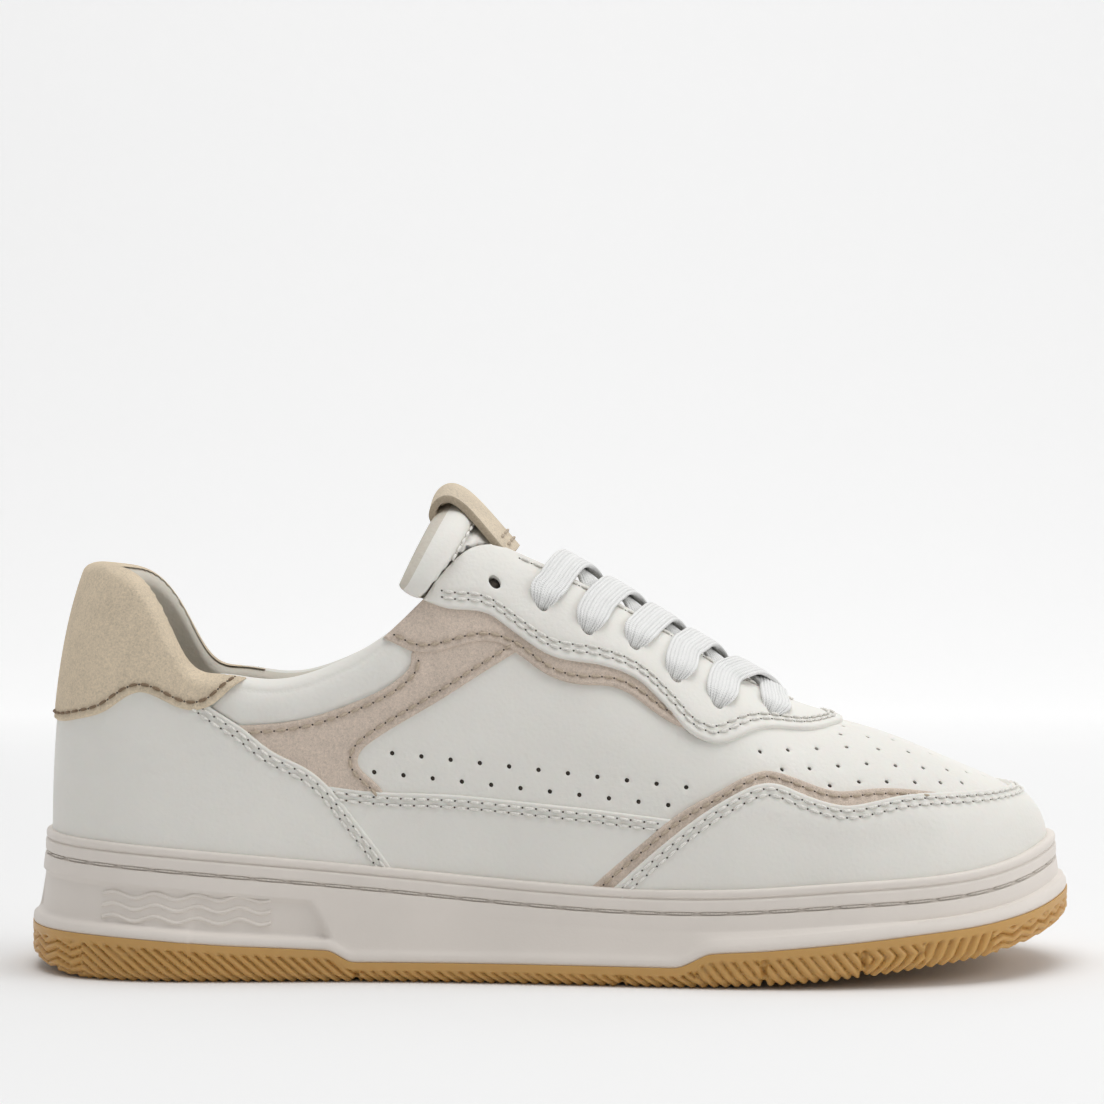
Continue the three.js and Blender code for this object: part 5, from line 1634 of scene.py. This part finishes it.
def wave_motif():
    """Three raised waves in the heel recess, where a moulded mark would be."""
    batch = Batch()
    xs = np.linspace(-124, -78, 90)
    ring = Ring(angle_of(xs))
    turn = np.arange(8) * 2 * math.pi / 8
    for row in (-1, 0, 1):
        z = 20.6 - 1.1 * (xs + 124) / 46 - 3.2 * row + 0.75 * np.sin((xs + 124) * 2 * math.pi / 11.5)
        path = ring.at(wall_out(xs, z, 1.0), z)
        rings = [p + 0.62 * (np.cos(turn)[:, None] * (0, 0, 1) + np.sin(turn)[:, None] * up)
                 for p, up in zip(path, ring.normals())]
        batch.add(np.vstack([path[:1], *rings, path[-1:]]), bead(len(rings), 8))
    return batch.build("sidewall_motif", SOLE_WHITE)


place_on(wave_motif(), "shoe", "white_rubber")

# ---- stitching pieces, and the CAD pieces that keep their own shape ---------------------------------
place_on(thread.build("upper_stitching", THREAD), "shoe", "thread")
place_on(suede_thread.build("suede_stitching", THREAD_BEIGE), "shoe", "thread")
place_on(dark_thread.build("heel_tab_stitching", THREAD_BROWN), "shoe", "thread")
# Dark lenses of painted shade in needle holes and perforations.
place_on(hole_shade_batch.build("needle_hole_shades", HOLE_SHADE), "shoe", "thread")

for node, material in (("footbed", FOOTBED), ("vamp_lining", LINING), ("insole_board", BOARD),
                       ("midsole_foam", FOAM), ("heel_counter", BOARD), ("toe_puff", BOARD)):
    for slot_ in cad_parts[node].material_slots:
        slot_.material = material


# ---- stage, light and camera --------------------------------------------------------------------------
def backdrop():
    """Pale paper floor curving up into a wall, glowing where the light on it falls off."""
    m, tree, shader = new_material("backdrop_paper")
    shader.inputs["Base Color"].default_value = (0.85, 0.85, 0.85, 1)
    shader.inputs["Roughness"].default_value = 1.0
    shader.inputs["Specular IOR Level"].default_value = 0.0
    split = tree.nodes.new("ShaderNodeSeparateXYZ")
    tree.links.new(object_coordinates(tree), split.inputs["Vector"])
    behind = add_math(tree, "POWER", add_math(tree, "MAXIMUM", split.outputs["Y"], 0.0), 2.0)
    far = add_math(tree, "MINIMUM", add_math(tree, "MULTIPLY", behind, FLOOR_GLOW), WALL_GLOW)
    glow = add_math(tree, "ADD", far, add_math(tree, "MULTIPLY", split.outputs["Z"], WALL_RISE))
    shader.inputs["Emission Color"].default_value = (1, 1, 1, 1)
    tree.links.new(add_math(tree, "MAXIMUM", glow, 0.0), shader.inputs["Emission Strength"])
    profile = [(-3, 0), (1.2, 0)]
    profile += [(1.2 + 1.2 * math.sin(a), 1.2 - 1.2 * math.cos(a))
                for a in np.linspace(0.1, math.pi / 2, 12)]
    profile += [(2.4, 4.5)]
    verts = [(x * 1000, y * 1000, z * 1000) for y, z in profile for x in (-5, 5)]
    faces = [(2 * i, 2 * i + 1, 2 * i + 3, 2 * i + 2) for i in range(len(profile) - 1)]
    make_mesh("backdrop", verts, faces, m, sharp=0)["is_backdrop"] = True


def area_light(name, place, target, size, power):
    """A rectangular lamp of a size in metres and a power in watts, turned to a target."""
    data = bpy.data.lights.new(name, "AREA")
    data.shape, data.size, data.size_y = "RECTANGLE", size[0], size[1]
    data.energy = power
    obj = bpy.data.objects.new(name, data)
    obj.location = place
    obj.rotation_euler = (Vector(target) - Vector(place)).to_track_quat("-Z", "Y").to_euler()
    bpy.context.scene.collection.objects.link(obj)


FLOOR_GLOW, WALL_GLOW, WALL_RISE = 0.18, 0.25, 0.075
backdrop()
area_light("soft_top", (0.05, -0.1, 1.9), (0, 0, 0), (1.7, 1.4), 20)
area_light("soft_right", (1.5, -0.35, 0.75), (0, 0, 0.05), (0.9, 0.9), 7)
world = bpy.data.worlds.new("studio")
world.use_nodes = True
world.node_tree.nodes["Background"].inputs["Color"].default_value = (1, 1, 1, 1)
world.node_tree.nodes["Background"].inputs["Strength"].default_value = 0.42
bpy.context.scene.world = world
bpy.context.scene.view_settings.view_transform = "Standard"

camera = bpy.data.cameras.new("camera")
camera.sensor_width, camera.lens = 36.0, 87.2
camera_object = bpy.data.objects.new("camera", camera)
camera_object.location = (0, -0.780, 0.119)
camera_object.rotation_euler = (math.pi / 2, 0, 0)
bpy.context.scene.collection.objects.link(camera_object)
bpy.context.scene.camera = camera_object

low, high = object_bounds()
